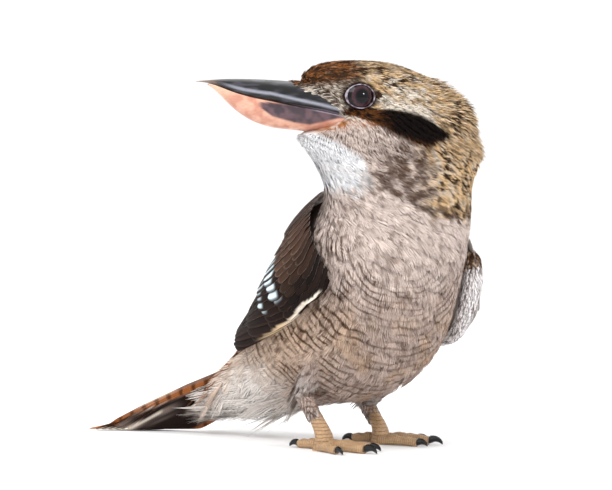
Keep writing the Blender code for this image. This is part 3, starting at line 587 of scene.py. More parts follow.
@dataclass
class Tufts:
    """Many thin closed tufts: a line of stations each, three-cornered across.

    Attributes:
        line: middle of each tuft at its stations, (n, k, 3).
        side: unit vectors to its left edge, (n, k, 3).
        up: unit vectors to its ridge, (n, k, 3).
        half: half widths, (n, k).
        ridge: how high the ridge stands over the edges, (n, k).
        colour: linear colours at the stations, (n, k, 3).
        bars: phase, strength and darkness of bars at the stations, (n, k, 3).
        home: place of each tuft on the unwrap, (n, 2), 0 to 1.
        patch: half width of its patch there.
    """

    line: Array
    side: Array
    up: Array
    half: Array
    ridge: Array
    colour: Array
    bars: Array
    home: Array
    patch: float = 0.0015

    def make(self, builder: Builder, name: str, material: Material, **extra: object) -> Piece:
        """One piece of all tufts: left edge, ridge and right edge at each station.

        Args:
            builder: makes the piece.
            name: the piece's name.
            material: its finish.
            extra: slot and replaces, as the builder takes them.

        Returns:
            The new object.
        """
        count, stations = self.half.shape
        across = np.array([1.0, 0.0, -1.0])[None, None, :, None]
        points = (
            self.line[:, :, None]
            + across * (self.side * self.half[..., None])[:, :, None]
            + (1 - np.abs(across)) * (self.up * self.ridge[..., None])[:, :, None]
        )
        quads = grid_quads(stations, 3, wrap=True)
        last = (stations - 1) * 3
        tris = np.array([[2, 1, 0], [last, last + 1, last + 2]])
        along = np.linspace(0, 1, stations)[None, :, None]
        u = self.home[:, 0, None, None] + self.patch * across[..., 0] + 0 * along
        v = self.home[:, 1, None, None] + 0.003 * (along - 0.5) + 0 * across[..., 0]
        per = stations * 3
        return builder.piece(
            name,
            points.reshape(-1, 3),
            repeat_faces(quads, count, per),
            material,
            tris=repeat_faces(tris, count, per),
            uv=np.stack([u, v], -1).reshape(-1, 2),
            fields={
                "plumage": np.repeat(self.colour[:, :, None], 3, 2).reshape(-1, 3),
                "bars": np.repeat(self.bars[:, :, None], 3, 2).reshape(-1, 3),
            },
            **extra,
        )


# Finishes.


class Nodes:
    """Short hand for a material's node tree."""

    def __init__(self, name: str) -> None:
        """A new material with only its shader and output."""
        self.material = bpy.data.materials.new(name)
        self.material.use_nodes = True
        self.tree = self.material.node_tree
        self.shader = self.tree.nodes["Principled BSDF"]

    def add(
        self, kind: str, inputs: dict[str | int, object] | None = None, **settings: object
    ) -> bpy.types.Node:
        """A node of this kind; inputs are values or sockets to link from."""
        node = self.tree.nodes.new(kind)
        for key, value in settings.items():
            setattr(node, key, value)
        for key, value in (inputs or {}).items():
            if isinstance(value, Socket):
                self.tree.links.new(value, node.inputs[key])
            else:
                node.inputs[key].default_value = value
        return node

    def maths(self, how: str, *values: object) -> Socket:
        """The result of one maths step on values or sockets."""
        return self.add("ShaderNodeMath", dict(enumerate(values)), operation=how).outputs[0]

    def vector(self, how: str, *values: object) -> bpy.types.Node:
        """The node of one vector maths step on values or sockets."""
        return self.add("ShaderNodeVectorMath", dict(enumerate(values)), operation=how)

    def scaled(self, value: object, factor: object, more: float) -> Socket:
        """The value times factor, plus more."""
        return self.maths("ADD", self.maths("MULTIPLY", value, factor), more)

    def off_half(self, value: object) -> Socket:
        """How far the value's fraction lies from a half."""
        return self.maths("ABSOLUTE", self.maths("SUBTRACT", self.maths("FRACT", value), 0.5))

    def ramp(self, value: object, low: float, high: float, start: float = 0.0, end: float = 1.0) -> Socket:
        """The value led from low..high to start..end, and held there outside."""
        return self.add("ShaderNodeMapRange", {0: value, 1: low, 2: high, 3: start, 4: end}).outputs[0]

    def grey(self, value: object) -> Socket:
        """A grey of this strength."""
        return self.add("ShaderNodeCombineColor", {0: value, 1: value, 2: value}).outputs[0]

    def attribute(self, name: str, output: str) -> Socket:
        """What is kept at the corners under this name."""
        return self.add("ShaderNodeAttribute", attribute_name=name).outputs[output]

    def blend(self, share: object, a: object, b: object, how: str = "MIX") -> Socket:
        """Colour a turned into b by share."""
        node = self.add("ShaderNodeMix", data_type="RGBA", blend_type=how)
        for index, value in ((0, share), (6, a), (7, b)):
            if isinstance(value, Socket):
                self.tree.links.new(value, node.inputs[index])
            else:
                node.inputs[index].default_value = value if index == 0 else (*value, 1.0)
        return node.outputs[2]

    def noise(
        self, scale: float, detail: float = 2.0, stretch: Triple = (1, 1, 1)
    ) -> Socket:
        """Noise on the piece's own place, so many cells a metre, stretched by a mapping."""
        place = self.add("ShaderNodeTexCoord").outputs["Object"]
        place = self.add("ShaderNodeMapping", {"Vector": place, "Scale": stretch}).outputs[0]
        noise = self.add("ShaderNodeTexNoise", {"Vector": place, "Scale": scale, "Detail": detail})
        return noise.outputs["Fac"]

    def bump(self, height: Socket, distance: float, strength: float = 1.0) -> None:
        """Lets height roughen the shader's surface."""
        node = self.add("ShaderNodeBump", {"Height": height, "Distance": distance, "Strength": strength})
        self.tree.links.new(node.outputs[0], self.shader.inputs["Normal"])

    def paint(self, colour: Socket) -> None:
        """Gives the shader its colour."""
        self.tree.links.new(colour, self.shader.inputs["Base Color"])

    def set(self, **values: float) -> None:
        """Numbers on the shader's own sockets, with _ for a space in a name."""
        for key, value in values.items():
            self.shader.inputs[key.replace("_", " ")].default_value = value


@dataclass(frozen=True)
class PlumageFinish:
    """Soft feather: the tuft's own colour, dark bars by their phase, and a fine grain."""

    name: str
    rough: float = 0.8
    fleck: float = 0.2
    wave: float = 0.45

    def make(self) -> Material:
        """The material, with bars where the phase is near a half and barbs along the vanes."""
        n = Nodes(self.name)
        base = n.attribute("plumage", "Color")
        phase, strength, barb = n.add("ShaderNodeSeparateXYZ", {0: n.attribute("bars", "Vector")}).outputs
        waver = n.maths("MULTIPLY", n.maths("SUBTRACT", n.noise(260.0, 2.0), 0.5), self.wave)
        bar = n.ramp(n.off_half(n.maths("ADD", phase, waver)), 0.23, 0.1)
        ink = n.blend(1.0, base, (0.2, 0.15, 0.115), "MULTIPLY")
        colour = n.blend(n.maths("MULTIPLY", bar, strength), base, ink)
        fine = n.scaled(n.noise(1400.0, 2.0), self.fleck * 2, 1.0 - self.fleck)
        shade = n.maths("SUBTRACT", 1.04, n.maths("MULTIPLY", n.off_half(barb), 0.3))
        n.paint(n.blend(1.0, colour, n.grey(n.maths("MULTIPLY", fine, shade)), "MULTIPLY"))
        n.bump(n.noise(2600.0, 1.0), 0.0002, 0.4)
        n.set(Roughness=self.rough, Specular_IOR_Level=0.06)
        return n.material


@dataclass(frozen=True)
class HornFinish:
    """Polished horn of bill and claws: its own tone with fine lengthwise clouding."""

    name: str
    colour: Triple | None = None
    rough: float = 0.3
    coat: float = 0.12

    def make(self) -> Material:
        """The material, in one colour or in the tone kept at the corners."""
        n = Nodes(self.name)
        cloud = n.scaled(n.noise(420.0, 4.0, (1, 1, 2)), 0.5, 0.75)
        base = tint(*self.colour) if self.colour else n.attribute("plumage", "Color")
        n.paint(n.blend(1.0, base, n.grey(cloud), "MULTIPLY"))
        n.bump(n.noise(900.0, 3.0, (1, 1, 2)), 0.00012, 0.35)
        n.set(Roughness=self.rough, Coat_Weight=self.coat, Coat_Roughness=0.15, Specular_IOR_Level=0.3)
        return n.material


@dataclass(frozen=True)
class ScalyFinish:
    """Bare skin of legs: pink-grey above and ochre below, parted into scales and scutes."""

    name: str
    low: Triple
    high: Triple
    seam: Triple
    way: Triple = (0.0, 0.0, 1.0)
    pitch: float = 0.0013
    levels: Pair = (0.016, 0.03)

    def make(self) -> Material:
        """The material: scutes follow each other along the way, one pitch apart."""
        n = Nodes(self.name)
        place = n.add("ShaderNodeTexCoord").outputs["Object"]
        height = n.add("ShaderNodeSeparateXYZ", {0: place}).outputs[2]
        run = n.vector("DOT_PRODUCT", place, self.way).outputs["Value"]
        run = n.maths("ADD", n.maths("DIVIDE", run, self.pitch), n.maths("MULTIPLY", n.noise(400.0), 0.7))
        line = n.ramp(n.maths("MULTIPLY", n.off_half(run), 2.0), 0.72, 0.95, 1.0, 0.0)
        cells = n.add("ShaderNodeTexVoronoi", {"Vector": place, "Scale": 760.0}, feature="DISTANCE_TO_EDGE")
        scale = n.maths("MULTIPLY", line, n.scaled(n.ramp(cells.outputs[0], 0.0, 0.13), 0.45, 0.55))
        skin = n.blend(n.ramp(height, *self.levels), tint(*self.low), tint(*self.high))
        skin = n.blend(n.maths("MULTIPLY", n.noise(240.0, 3.0), 0.7), skin, tint(*self.seam) * 1.3)
        n.paint(n.blend(scale, tint(*self.seam), skin))
        n.bump(scale, 0.0003, 0.6)
        n.set(Roughness=0.48)
        return n.material


@dataclass(frozen=True)
class EyeFinish:
    """A dark wet eye: black pupil, brown iris and a dark rim, by distance from its middle."""

    name: str
    centre: Triple
    middle: Triple

    def make(self) -> Material:
        """The material: rings round the middle of the pupil, shaded as one round ball."""
        n = Nodes(self.name)
        place = n.add("ShaderNodeTexCoord").outputs["Object"]
        away = n.vector("DISTANCE", place, self.middle).outputs["Value"]
        pupil, rim = n.ramp(away, 0.0038, 0.0056), n.ramp(away, 0.0064, 0.0072)
        iris = n.blend(n.noise(1100.0, 3.0), tint(78, 50, 58), tint(24, 15, 18))
        n.paint(n.blend(rim, n.blend(pupil, (0.002, 0.002, 0.003), iris), tint(14, 9, 11)))
        n.set(Roughness=0.05, Specular_IOR_Level=0.2)
        ball = n.vector("NORMALIZE", n.vector("SUBTRACT", place, self.centre).outputs[0]).outputs[0]
        n.tree.links.new(ball, n.shader.inputs["Normal"])
        return n.material


# Markings.


class Ink:
    """The colours of the plumage in linear light, from their display values."""

    BREAST = tint(230, 213, 204)
    THROAT = tint(246, 246, 248)
    BELLY = tint(196, 175, 164)
    BUFF = tint(196, 166, 138)
    FLANK = tint(220, 192, 168)
    VENT = tint(244, 236, 230)
    CHEEK = tint(222, 204, 194)
    MOTTLE = tint(104, 78, 62)
    GOLD = tint(232, 196, 150)
    CREAM = tint(242, 230, 214)
    CROWN = tint(88, 62, 44)
    RUFOUS = tint(186, 116, 62)
    BROWN = tint(104, 74, 54)
    BLACK = tint(22, 16, 14)
    WING = tint(34, 23, 19)
    COVERT = tint(66, 46, 36)
    WING_EDGE = tint(170, 142, 120)
    SPOT = tint(214, 232, 240)
    UNDER = tint(214, 208, 202)
    TAIL = tint(196, 120, 66)
    TAIL_UNDER = tint(138, 122, 114)
    TAIL_TIP = tint(226, 196, 158)


# Upper and lower edge of the dark eye stripe: distance ahead of the eye, then heights.
STRIPE = np.array(
    [
        (-0.056, 0.1862, 0.1855),
        (-0.0476, 0.1909, 0.1833),
        (-0.0402, 0.1956, 0.1798),
        (-0.0327, 0.1982, 0.1821),
        (-0.0228, 0.2, 0.1856),
        (-0.0128, 0.2012, 0.1915),
        (-0.0079, 0.202, 0.1944),
        (0.001, 0.203, 0.1975),
        (0.01, 0.201, 0.1985),
    ]
)
# The point of the breast that its bars go round.
BREAST_MIDDLE = np.array([-0.0099, -0.0584, 0.126])
# Lower edge of the feathers on the bill's sides: distances ahead of the eye, then heights.
LORES = np.array(
    [(0.004, 0.0159, 0.023, 0.0315, 0.0375, 0.04), (0.1968, 0.2042, 0.21, 0.2125, 0.2165, 0.225)]
)
# Front edge of the white throat: heights, then distances ahead of the eye.
THROAT_EDGE = np.array(
    [(0.15, 0.158, 0.1725, 0.181, 0.1893, 0.197), (-0.004, -0.0045, 0.0, 0.011, 0.0266, 0.034)]
)
# Line of the collar between head and body: distances ahead of the eye, then heights.
COLLAR = np.array([(-0.06, -0.043, -0.021, -0.0045, 0.01), (0.137, 0.14, 0.1474, 0.158, 0.166)])


class Markings:
    """Plumage colours by formula, from a point's place on the bird."""

    def head(self, points: Array, seed: Array) -> Array:
        """Colours of crown, eye stripe, cheek and throat.

        Args:
            points: places in the plan, (n, 3).
            seed: a random number for each tuft, (n,).

        Returns:
            Linear colours, (n, 3).
        """
        ahead, _, height = head_place(points)
        coarse, fine = grain(points, 0.003, 3), grain(points, 0.0017, 5)
        streak = self.streak(points, fine, seed)
        level = height + 0.12 * ahead
        colour = self.crown(points, coarse, fine, streak)
        below = ease(0.1985, 0.1935, level)
        nape = ease(-0.028, -0.05, ahead + 0.016 * (coarse - 0.5))
        throat = ease(-0.003, 0.003, ahead - np.interp(height, *THROAT_EDGE) + 0.004 * (coarse - 0.5))
        colour = layers(
            colour,
            (self.cheek(points, coarse, streak), below * (1 - nape)),
            (Ink.THROAT, throat * ease(0.1985, 0.195, height)),
        )
        return self.stripe(colour, points, fine, streak, seed)

    def streak(self, points: Array, fine: Array, seed: Array) -> Array:
        """How dark each place of the head's lengthwise streaks is, 0 to 1."""
        ahead, left, height = head_place(points)
        dash = grain(np.stack([ahead / 0.0042, left / 0.0011, height / 0.0012], -1), 1.0, 6)
        return 0.3 * fine + 0.45 * dash + 0.25 * seed

    def crown(self, points: Array, coarse: Array, fine: Array, streak: Array) -> Array:
        """Golden crown with dark streaks, a white patch behind the eye and the face ahead of it."""
        ahead, left, height = head_place(points)
        crest = ease(0.217, 0.225, height)
        pale = ease(0.4, 0.7, coarse) * (0.45 + 0.55 * ease(-0.056, -0.034, ahead)) * (1 - 0.6 * crest)
        dark = ease(0.47, 0.57, streak + 0.02 * ease(-0.03, -0.01, ahead) + 0.045 * crest)
        dark = dark * (0.5 + 0.5 * ease(0.3, 0.6, grain(points, 0.007, 4)))
        cap = ease(0.01, 0.002, np.abs(left)) * ease(0.222, 0.228, height)
        up = height - 0.2108 - 0.22 * (ahead + 0.03)
        white = ease(1.2, 0.5, np.hypot((ahead + 0.03) / 0.012, up / 0.005))
        ring = eye_ring(ahead, height) + 0.25 * (streak - 0.5)
        return layers(
            Ink.GOLD,
            (Ink.CREAM, pale),
            (Ink.CROWN * 0.45, dark),
            (Ink.CROWN, cap * ease(0.35, 0.6, streak) * 0.8),
            (Ink.CREAM, white * ease(0.62, 0.48, streak)),
            (self.face(ahead, height, fine, streak), ease(-0.008, 0.003, ahead)),
            (Ink.CROWN * 0.35, ease(1.32, 1.12, ring) * ease(0.01, 0.013, np.abs(left))),
        )

    def face(self, ahead: Array, height: Array, fine: Array, streak: Array) -> Array:
        """Streaked cream in front of the eye, rusty above it, with a dark mask."""
        rusty = layers(
            Ink.RUFOUS * 0.55,
            (Ink.CROWN * 0.35, ease(0.4, 0.54, streak)),
            (Ink.FLANK * 0.7, ease(0.45, 0.7, fine) * ease(0.5, 0.4, streak) * 0.5),
        )
        mask = ease(0.015, 0.008, np.hypot(ahead - 0.013, 1.1 * (height - 0.2165)))
        return layers(
            Ink.CREAM * 0.9,
            (Ink.CROWN * 0.6, ease(0.44, 0.58, streak) * 0.85),
            (rusty, ease(0.216, 0.2215, height + 0.12 * ahead)),
            (Ink.CROWN * 0.7, mask * (0.35 + 0.5 * ease(0.4, 0.6, streak))),
        )

    def cheek(self, points: Array, coarse: Array, streak: Array) -> Array:
        """Pale cheek with dark flecks, rust along the mouth and brown mottling behind."""
        ahead, _, height = head_place(points)
        rust = ease(0.006, 0.001, np.abs(height + 0.12 * ahead - 0.1945)) * ease(-0.02, -0.004, ahead)
        mottle = ease(-0.004, -0.018, ahead) * ease(0.187, 0.179, height) * ease(-0.056, -0.036, ahead)
        return layers(
            Ink.CHEEK * 0.92,
            (Ink.MOTTLE * 0.7, ease(0.54, 0.68, streak) * 0.85),
            (Ink.RUFOUS * 0.8, rust * ease(0.35, 0.65, streak)),
            (Ink.MOTTLE * 0.75, mottle * ease(0.34, 0.58, 0.5 * coarse + 0.5 * streak) * 0.88),
        )

    def stripe(self, colour: Array, points: Array, fine: Array, streak: Array, seed: Array) -> Array:
        """The head's colour with the dark stripe behind the eye and the pale brow over it."""
        ahead, _, height = head_place(points)
        top, bottom = (np.interp(ahead, STRIPE[:, 0], STRIPE[:, k]) for k in (1, 2))
        wide = (height - bottom + 0.0012 * (fine - 0.5)) / np.maximum(top - bottom, 1e-4)
        inside = band(wide, (-0.2, 0.02), (1.16, 1.0)) * ease(-0.057, -0.052, ahead)
        inside = inside * ease(0.011, 0.008, ahead)
        warm = ease(-0.022, -0.006, ahead) * ease(0.4, 0.6, streak)
        warm = np.maximum(warm * 0.85, ease(0.2, 0.0, wide) * 0.7 * seed)
        brow = band(wide, (0.98, 1.1), (1.55, 1.3)) * ease(-0.049, -0.04, ahead)
        brow = brow * ease(-0.01, -0.018, ahead)
        return layers(
            colour,
            (Ink.CREAM, brow * ease(0.8, 0.55, streak)),
            (mix(Ink.BLACK, Ink.RUFOUS * 0.3, warm), inside),
        )

    def body(self, points: Array, place: Array, angle: Array, seed: Array) -> Array:
        """Colours of neck, breast, belly and flanks.

        Args:
            points: places in the plan, (n, 3).
            place: where along the body, (n,).
            angle: turn round the body, (n,).
            seed: a random number for each tuft, (n,).

        Returns:
            Linear colours, (n, 3).
        """
        fine, coarse = grain(points, 0.0022, 11), grain(points, 0.011, 12)
        side = np.abs(angle)
        fleck = ease(0.54, 0.74, 0.7 * fine + 0.3 * seed) * (0.56 + 0.2 * ease(0.5, 1.3, side))
        rump = mix(Ink.WING, Ink.TAIL_UNDER, ease(3.2, 1.6, place))
        return layers(
            Ink.BREAST,
            (Ink.BELLY, ease(6.4, 4.6, place + 1.2 * (coarse - 0.5))),
            (Ink.BUFF, ease(0.5, 0.75, coarse) * ease(5.6, 4.4, place) * ease(2.0, 3.2, place) * 0.6),
            (Ink.FLANK, ease(0.45, 1.2, side) * ease(5.2, 4.2, place) * 0.7),
            (Ink.BROWN, fleck * ease(1.6, 3.0, place)),
            (Ink.VENT, ease(2.7, 1.5, place) * ease(1.9, 1.2, side)),
            (rump, ease(1.75, 2.15, side) * ease(7.4, 6.2, place)),
            (Ink.TAIL * 0.6, self.coverts(place, angle)),
        )

    def coverts(self, place: Array, angle: Array) -> Array:
        """Where the rufous upper coverts of the tail show, 0 to 1."""
        return np.maximum(ease(-1.85, -2.0, angle), ease(1.95, 2.15, angle)) * ease(2.9, 2.3, place)

    def bars(self, points: Array, place: Array, angle: Array) -> Array:
        """Phase and strength of the bars: arcs round the middle of the breast, wider apart outside."""
        away = np.linalg.norm(points - BREAST_MIDDLE, axis=-1)
        phase = np.interp(away, (0.0, 0.05, 0.15), (0.0, 14.4, 37.5)) + grain(points, 0.009, 22)
        side = np.abs(angle)
        strength = ease(0.014, 0.034, away) * ease(0.124, 0.104, points[:, 2] - 0.016 * ease(0.5, 1.1, side))
        strength = strength * ease(1.5, 2.6, place) * ease(2.2, 1.8, side)
        broken = ease(0.28, 0.6, grain(points, (0.0075, 0.0075, 0.004), 21))
        strength = strength * broken * (0.6 + 0.34 * ease(0.3, 0.9, side))
        rump = self.coverts(place, angle)
        phase = np.where(rump > 0.3, 2.6 * place + 0.5 * grain(points, 0.006, 23), phase)
        strength = np.maximum(strength, 0.95 * rump)
        return np.stack([phase, strength, 0 * phase], -1)

    def coat(self, points: Array, place: Array, angle: Array, seed: Array) -> Array:
        """Head colours above the collar, body colours below it."""
        ahead, _, height = head_place(points)
        above = height - np.interp(ahead, *COLLAR) + (grain(points, 0.005, 31) - 0.5) * 0.01
        collar = band(above, (-0.002, 0.002), (0.012, 0.005)) * ease(0.004, -0.006, ahead)
        top = ease(-0.0025, 0.0025, above)
        upper = height + 0.012 * (grain(points, 0.005, 35) - 0.5)
        bib = ease(0.15, 0.158, upper) * ease(-0.004, 0.004, ahead)
        return layers(
            self.body(points, place, angle, seed),
            (self.head(points, seed), top),
            (Ink.THROAT, bib * (1 - top)),
            (Ink.MOTTLE * 0.6, collar * ease(0.4, 0.65, grain(points, 0.004, 33)) * 0.8),
        )

    def shin(self, points: Array, place: Array, angle: Array, seed: Array) -> Array:
        """Grey-brown shin with darker scallops, paler up on the thigh."""
        coarse, fine = grain(points, 0.004, 41), grain(points, 0.0018, 42)
        colour = mix(Ink.BELLY, tint(200, 188, 182), ease(0.62, 0.82, place))
        dark = ease(0.46, 0.66, 0.5 * coarse + 0.3 * fine + 0.2 * seed) * ease(0.3, 0.75, place)
        return mix(colour, Ink.BROWN * 0.8, dark * 0.75)

    def pad(self, points: Array, place: Array, angle: Array, seed: Array) -> Array:
        """White front of the left wing with dark spots, brown at its top and outer side."""
        spots = ease(0.64, 0.74, 0.75 * grain(points, (0.003, 0.003, 0.0055), 47) + 0.25 * seed)
        outer = band(np.mod(angle, 2 * math.pi), (1.55, 1.85), (3.6, 3.2)) * ease(0.5, 0.3, place)
        cap = np.maximum(ease(0.17, 0.08, place + 0.08 * (seed - 0.5)), outer)
        brown = mix(Ink.BROWN * 0.7, Ink.FLANK, ease(0.55, 0.8, grain(points, 0.002, 48)))
        return layers(tint(248, 242, 242), (Ink.MOTTLE * 0.7, spots * 0.75), (brown, cap))

    def vent(self, points: Array, place: Array, angle: Array, seed: Array) -> Array:
        """Pale grey-white under the tail."""
        dusky = ease(0.5, 0.9, 0.6 * grain(points, 0.003, 45) + 0.4 * seed)
        return mix(Ink.VENT, Ink.TAIL_UNDER, dusky * 0.6)

    def plain(self, points: Array, place: Array, angle: Array) -> Array:
        """No bars."""
        return np.zeros_like(points)

    def shin_bars(self, points: Array, place: Array, angle: Array) -> Array:
        """Bars that go round the shin."""
        phase = points[:, 2] / 0.0042 + 1.2 * grain(points, 0.005, 43)
        return np.stack([phase, 0.6 * ease(0.3, 0.6, grain(points, 0.004, 44)), 0 * phase], -1)


# Body.


@dataclass
class Flesh:
    """The skin under the plumage: torso, neck and head in one surface, and both thighs in it."""

    builder: Builder
    marks: Markings
    rings: int = 150
    around: int = 120
    # Start and width of each form's strip on the unwrap: body, two thighs and the pad.
    strips: ClassVar[tuple[Pair, ...]] = (
        (0.0, 0.6),
        (0.62, 0.11),
        (0.75, 0.11),
        (0.88, 0.11),
    )

    def depth(self, place: Array, angle: Array) -> Array:
        """How deep the plumage is: under 1 mm at the face, 2 mm on the body."""
        face = ease(8.6, 11.0, place) * ease(2.0, 1.0, np.abs(angle))
        return 0.002 - 0.0009 * face - 0.0003 * ease(8.0, 11.0, place)

    def form(self, number: int, form: Surface, rings: int, around: int) -> tuple[Array, ...]:
        """One closed form of the skin.

        Args:
            number: which strip of the unwrap it takes.
            form: its surface.
            rings: how many rings it has.
            around: how many corners in each.

        Returns:
            Corners, quads, end triangles, unwrap, colours and bars.
        """
        body, last = form is BODY, BODY_TOP if form is BODY else 1.0
        share = np.linspace(0, 1, rings)
        place = last * (1 - (1 - share) ** 1.25) if body else share
        turn = np.linspace(-math.pi, math.pi, around, endpoint=False)
        place, angle = np.broadcast_arrays(place[:, None], turn[None, :])
        depth = self.depth(place, angle) if body else form.deep + 0 * place
        points = form.point(place, angle, -depth).reshape(-1, 3)
        if body:
            points[-around:] = BODY.point(BODY_TOP - 0.03, 0.0) - UP * 0.002
        points, quads, caps = capped(points, rings, around)
        at = place[3:4, :1], angle[3:4, :1]
        if (form.normal(*at) * np.cross(*form.slopes(*at))).sum() > 0:
            quads, caps = quads[:, ::-1], caps[:, ::-1]
        flat = place.ravel(), angle.ravel(), np.full(place.size, 0.5)
        names = ("coat", "bars") if body else ("pad", "plain") if form is PAD else SHIN
        colour, bars = (getattr(self.marks, name) for name in names)
        colour = np.vstack([colour(points[:-2], *flat) * 0.85, np.tile(Ink.VENT * 0.6, (2, 1))])
        bars = np.vstack([bars(points[:-2], *flat[:2]), np.zeros((2, 3))])
        start, width = self.strips[number]
        u = (flat[1] / (2 * math.pi) + 0.5) * width + start
        uv = np.vstack([np.stack([u, flat[0] / last], -1), [[u.mean(), 0.0], [u.mean(), 1.0]]])
        return points, quads, caps, uv, colour, bars

    def make(self, material: Material) -> Piece:
        """The skin as one piece, each form closed at both its ends."""
        forms = [(BODY, self.rings, self.around)] + [(limb, 40, 36) for limb in (*THIGHS.values(), PAD)]
        parts, start = [], 0
        for number, form in enumerate(forms):
            points, quads, caps, *rest = self.form(number, *form)
            parts.append((points, quads + start, caps + start, *rest))
            start += len(points)
        points, quads, caps, uv, colour, bars = (np.vstack(column) for column in zip(*parts))
        fields = {"plumage": colour, "bars": bars}
        nodes = ("torso", "neck", "head", "thigh_left", "thigh_right")
        return self.builder.piece(
            "skin", points, quads, material, caps, uv, fields, slot="plumage_breast", replaces=nodes
        )


@dataclass(frozen=True)
class Area:
    """One area of the coat.

    Attributes:
        name: the piece's name.
        surface: the form it grows on.
        low: lowest place there.
        high: highest place.
        gap: distance between roots, metres.
        length: length of a feather.
        half: half its width.
        barbs: its barbs, or 1 for a plain tuft.
        tip: how high its tip stands over the form.
        loose: how far feathers turn from the lie, radians.
        marks: names of the markings' formulas for colour and bars.
    """

    name: str
    surface: Surface
    low: float
    high: float
    gap: float
    length: float
    half: float
    barbs: int = 1
    tip: float = 0.0
    loose: float = 0.5
    marks: tuple[str, str] = ("coat", "bars")


# Names of the formulas for colour and bars on the shins and under the tail.
SHIN, VENT = ("shin", "shin_bars"), ("vent", "plain")


@dataclass
class Coat:
    """The feathers of body, shins and head, each laid along the skin from bill to tail."""

    builder: Builder
    marks: Markings
    flesh: Flesh
    edges: list[tuple[int, Array, Array]]
    areas: tuple[Area, ...] = (
        Area("vent_feathers", BODY, 0.0, 2.2, 0.0042, 0.015, 0.0034, 11, 0.0006, 0.8),
        Area("belly_feathers", BODY, 2.2, 3.8, 0.0042, 0.011, 0.0031, 11, 0.0002),
        Area("flank_feathers", BODY, 3.8, 5.0, 0.0042, 0.0105, 0.0031, 11, 0.0002),
        Area("breast_feathers", BODY, 5.0, 6.4, 0.0036, 0.011, 0.0029, 11, 0.0001),
        Area("neck_feathers", BODY, 6.4, 8.8, 0.0032, 0.0098, 0.0026, 8, 0.0001),
        Area("shin_right_feathers", THIGHS["right"], 0.06, 0.98, 0.003, 0.0068, 0.0022, 7, 0.0002, 0.5, SHIN),
        Area("shin_left_feathers", THIGHS["left"], 0.06, 0.98, 0.003, 0.0068, 0.0022, 7, 0.0002, 0.5, SHIN),
        Area("shank_right_feathers", SOCKS["right"], 0.0, 1.0, 0.0012, 0.0032, 0.0008, 1, 0.0005, 0.5, SHIN),
        Area("shank_left_feathers", SOCKS["left"], 0.0, 1.0, 0.0012, 0.0032, 0.0008, 1, 0.0005, 0.5, SHIN),
        Area("left_wing_front", PAD, 0.0, 1.0, 0.0012, 0.005, 0.0012, 1, 0.0001, 0.4, ("pad", "plain")),
        Area("undertail_feathers", Underside(), 0.0, 1.0, 0.0036, 0.018, 0.0034, 11, 0.0022, 0.7, VENT),
        Area("lores_tufts", BillSide(), 0.0, 1.0, 0.0008, 0.0036, 0.00036, 1, 0.0006, 0.5, ("coat", "plain")),
        Area("cheek_tufts", BODY, 8.8, 12.0, 0.0009, 0.0054, 0.00048),
        Area("crown_tufts", BODY, 12.0, 16.9, 0.0009, 0.005, 0.00045),
    )

    def roots(self, area: Area, seed: float) -> tuple[Array, Array]:
        """Scattered roots, a gap apart, kept where a third number is below the area's share.

        Args:
            area: which area of the coat.
            seed: start of the scatter.

        Returns:
            Places and angles of the roots.
        """
        form, low, high = area.surface, area.low, area.high
        trial = spread(4000, seed)
        place, angle = low + (high - low) * trial[:, 0], (trial[:, 1] - 0.5) * 2 * math.pi
        size = np.linalg.norm(np.cross(*form.slopes(place, angle)), axis=-1)
        top, mean = size.max() * 1.02, size.mean()
        wanted = mean * (high - low) * 2 * math.pi / area.gap**2
        many = spread(int(wanted * top / mean), seed)
        place, angle = low + (high - low) * many[:, 0], (many[:, 1] - 0.5) * 2 * math.pi
        size = np.linalg.norm(np.cross(*form.slopes(place, angle)), axis=-1)
        keep = many[:, 2] < size / top
        return place[keep], angle[keep]

    def lie(self, form: Surface, place: Array, angle: Array) -> tuple[Array, Array, Array]:
        """Normal, lie and side: back from the bill on the head, towards tail and toes below."""
        along, _ = form.slopes(place, angle)
        normal = form.normal(place, angle)
        way = form.flow * unit(along)
        if form is BODY:
            head = ease(9.3, 12.2, place)[:, None]
            back = unit(-HEAD_FRONT - UP * (0.25 + 0.5 * ease(12.5, 10.5, place))[:, None])
            way = way * (1.15 - head) + back * head * 1.2
        way = unit(way - normal * (way * normal).sum(-1, keepdims=True))
        return normal, way, np.cross(normal, way)

    def growth(self, area: Area, place: Array, angle: Array, luck: Array) -> tuple[Array | float, Array]:
        """How much longer than usual the feathers are, and how high their tips stand.

        Args:
            area: which area of the coat.
            place: places of the roots.
            angle: angles of the roots.
            luck: random numbers of the feathers, (n, 6).

        Returns:
            Shares of the usual length, and heights of the tips over the form.
        """
        form = area.surface
        if form in THIGHS.values():
            loose = ease(0.62, 0.8, place) * ease(1.8, 2.6, np.abs(angle)) * luck[:, 2]
            return 1 + 3.4 * loose**2, area.tip + 0.007 * loose**2
        if form is not BODY:
            return 1.0, area.tip * (0.6 + 0.8 * luck[:, 2])
        root = form.point(place, angle)
        ahead, left, height = head_place(root)
        under = ease(3.9, 2.6, place) * ease(1.0, 0.4, np.abs(angle)) * luck[:, 2] ** 2
        nape = ease(-0.04, -0.054, ahead) * ease(8.0, 9.5, place)
        front = self.shoulder(root, angle)
        face = 0.45 * ease(0.012, 0.022, ahead) * ease(9.0, 10.0, place)
        grow = 1 - face + 0.9 * ease(1.3, 0.2, place) + 2.2 * under
        grow = (grow + 0.45 * nape * luck[:, 4]) * (1 + 0.25 * front)
        lift = area.tip + 0.0042 * luck[:, 2] ** 2 * nape + 0.0034 * under
        lift = lift + front * (0.0022 + 0.003 * luck[:, 2])
        room = np.clip((eye_ring(ahead, height) - 0.97) * 0.008 / area.length, 0.25, 9)
        near = (ahead > -0.004) & (np.abs(left) > 0.01)
        return np.where(near, np.minimum(grow, room), grow), lift

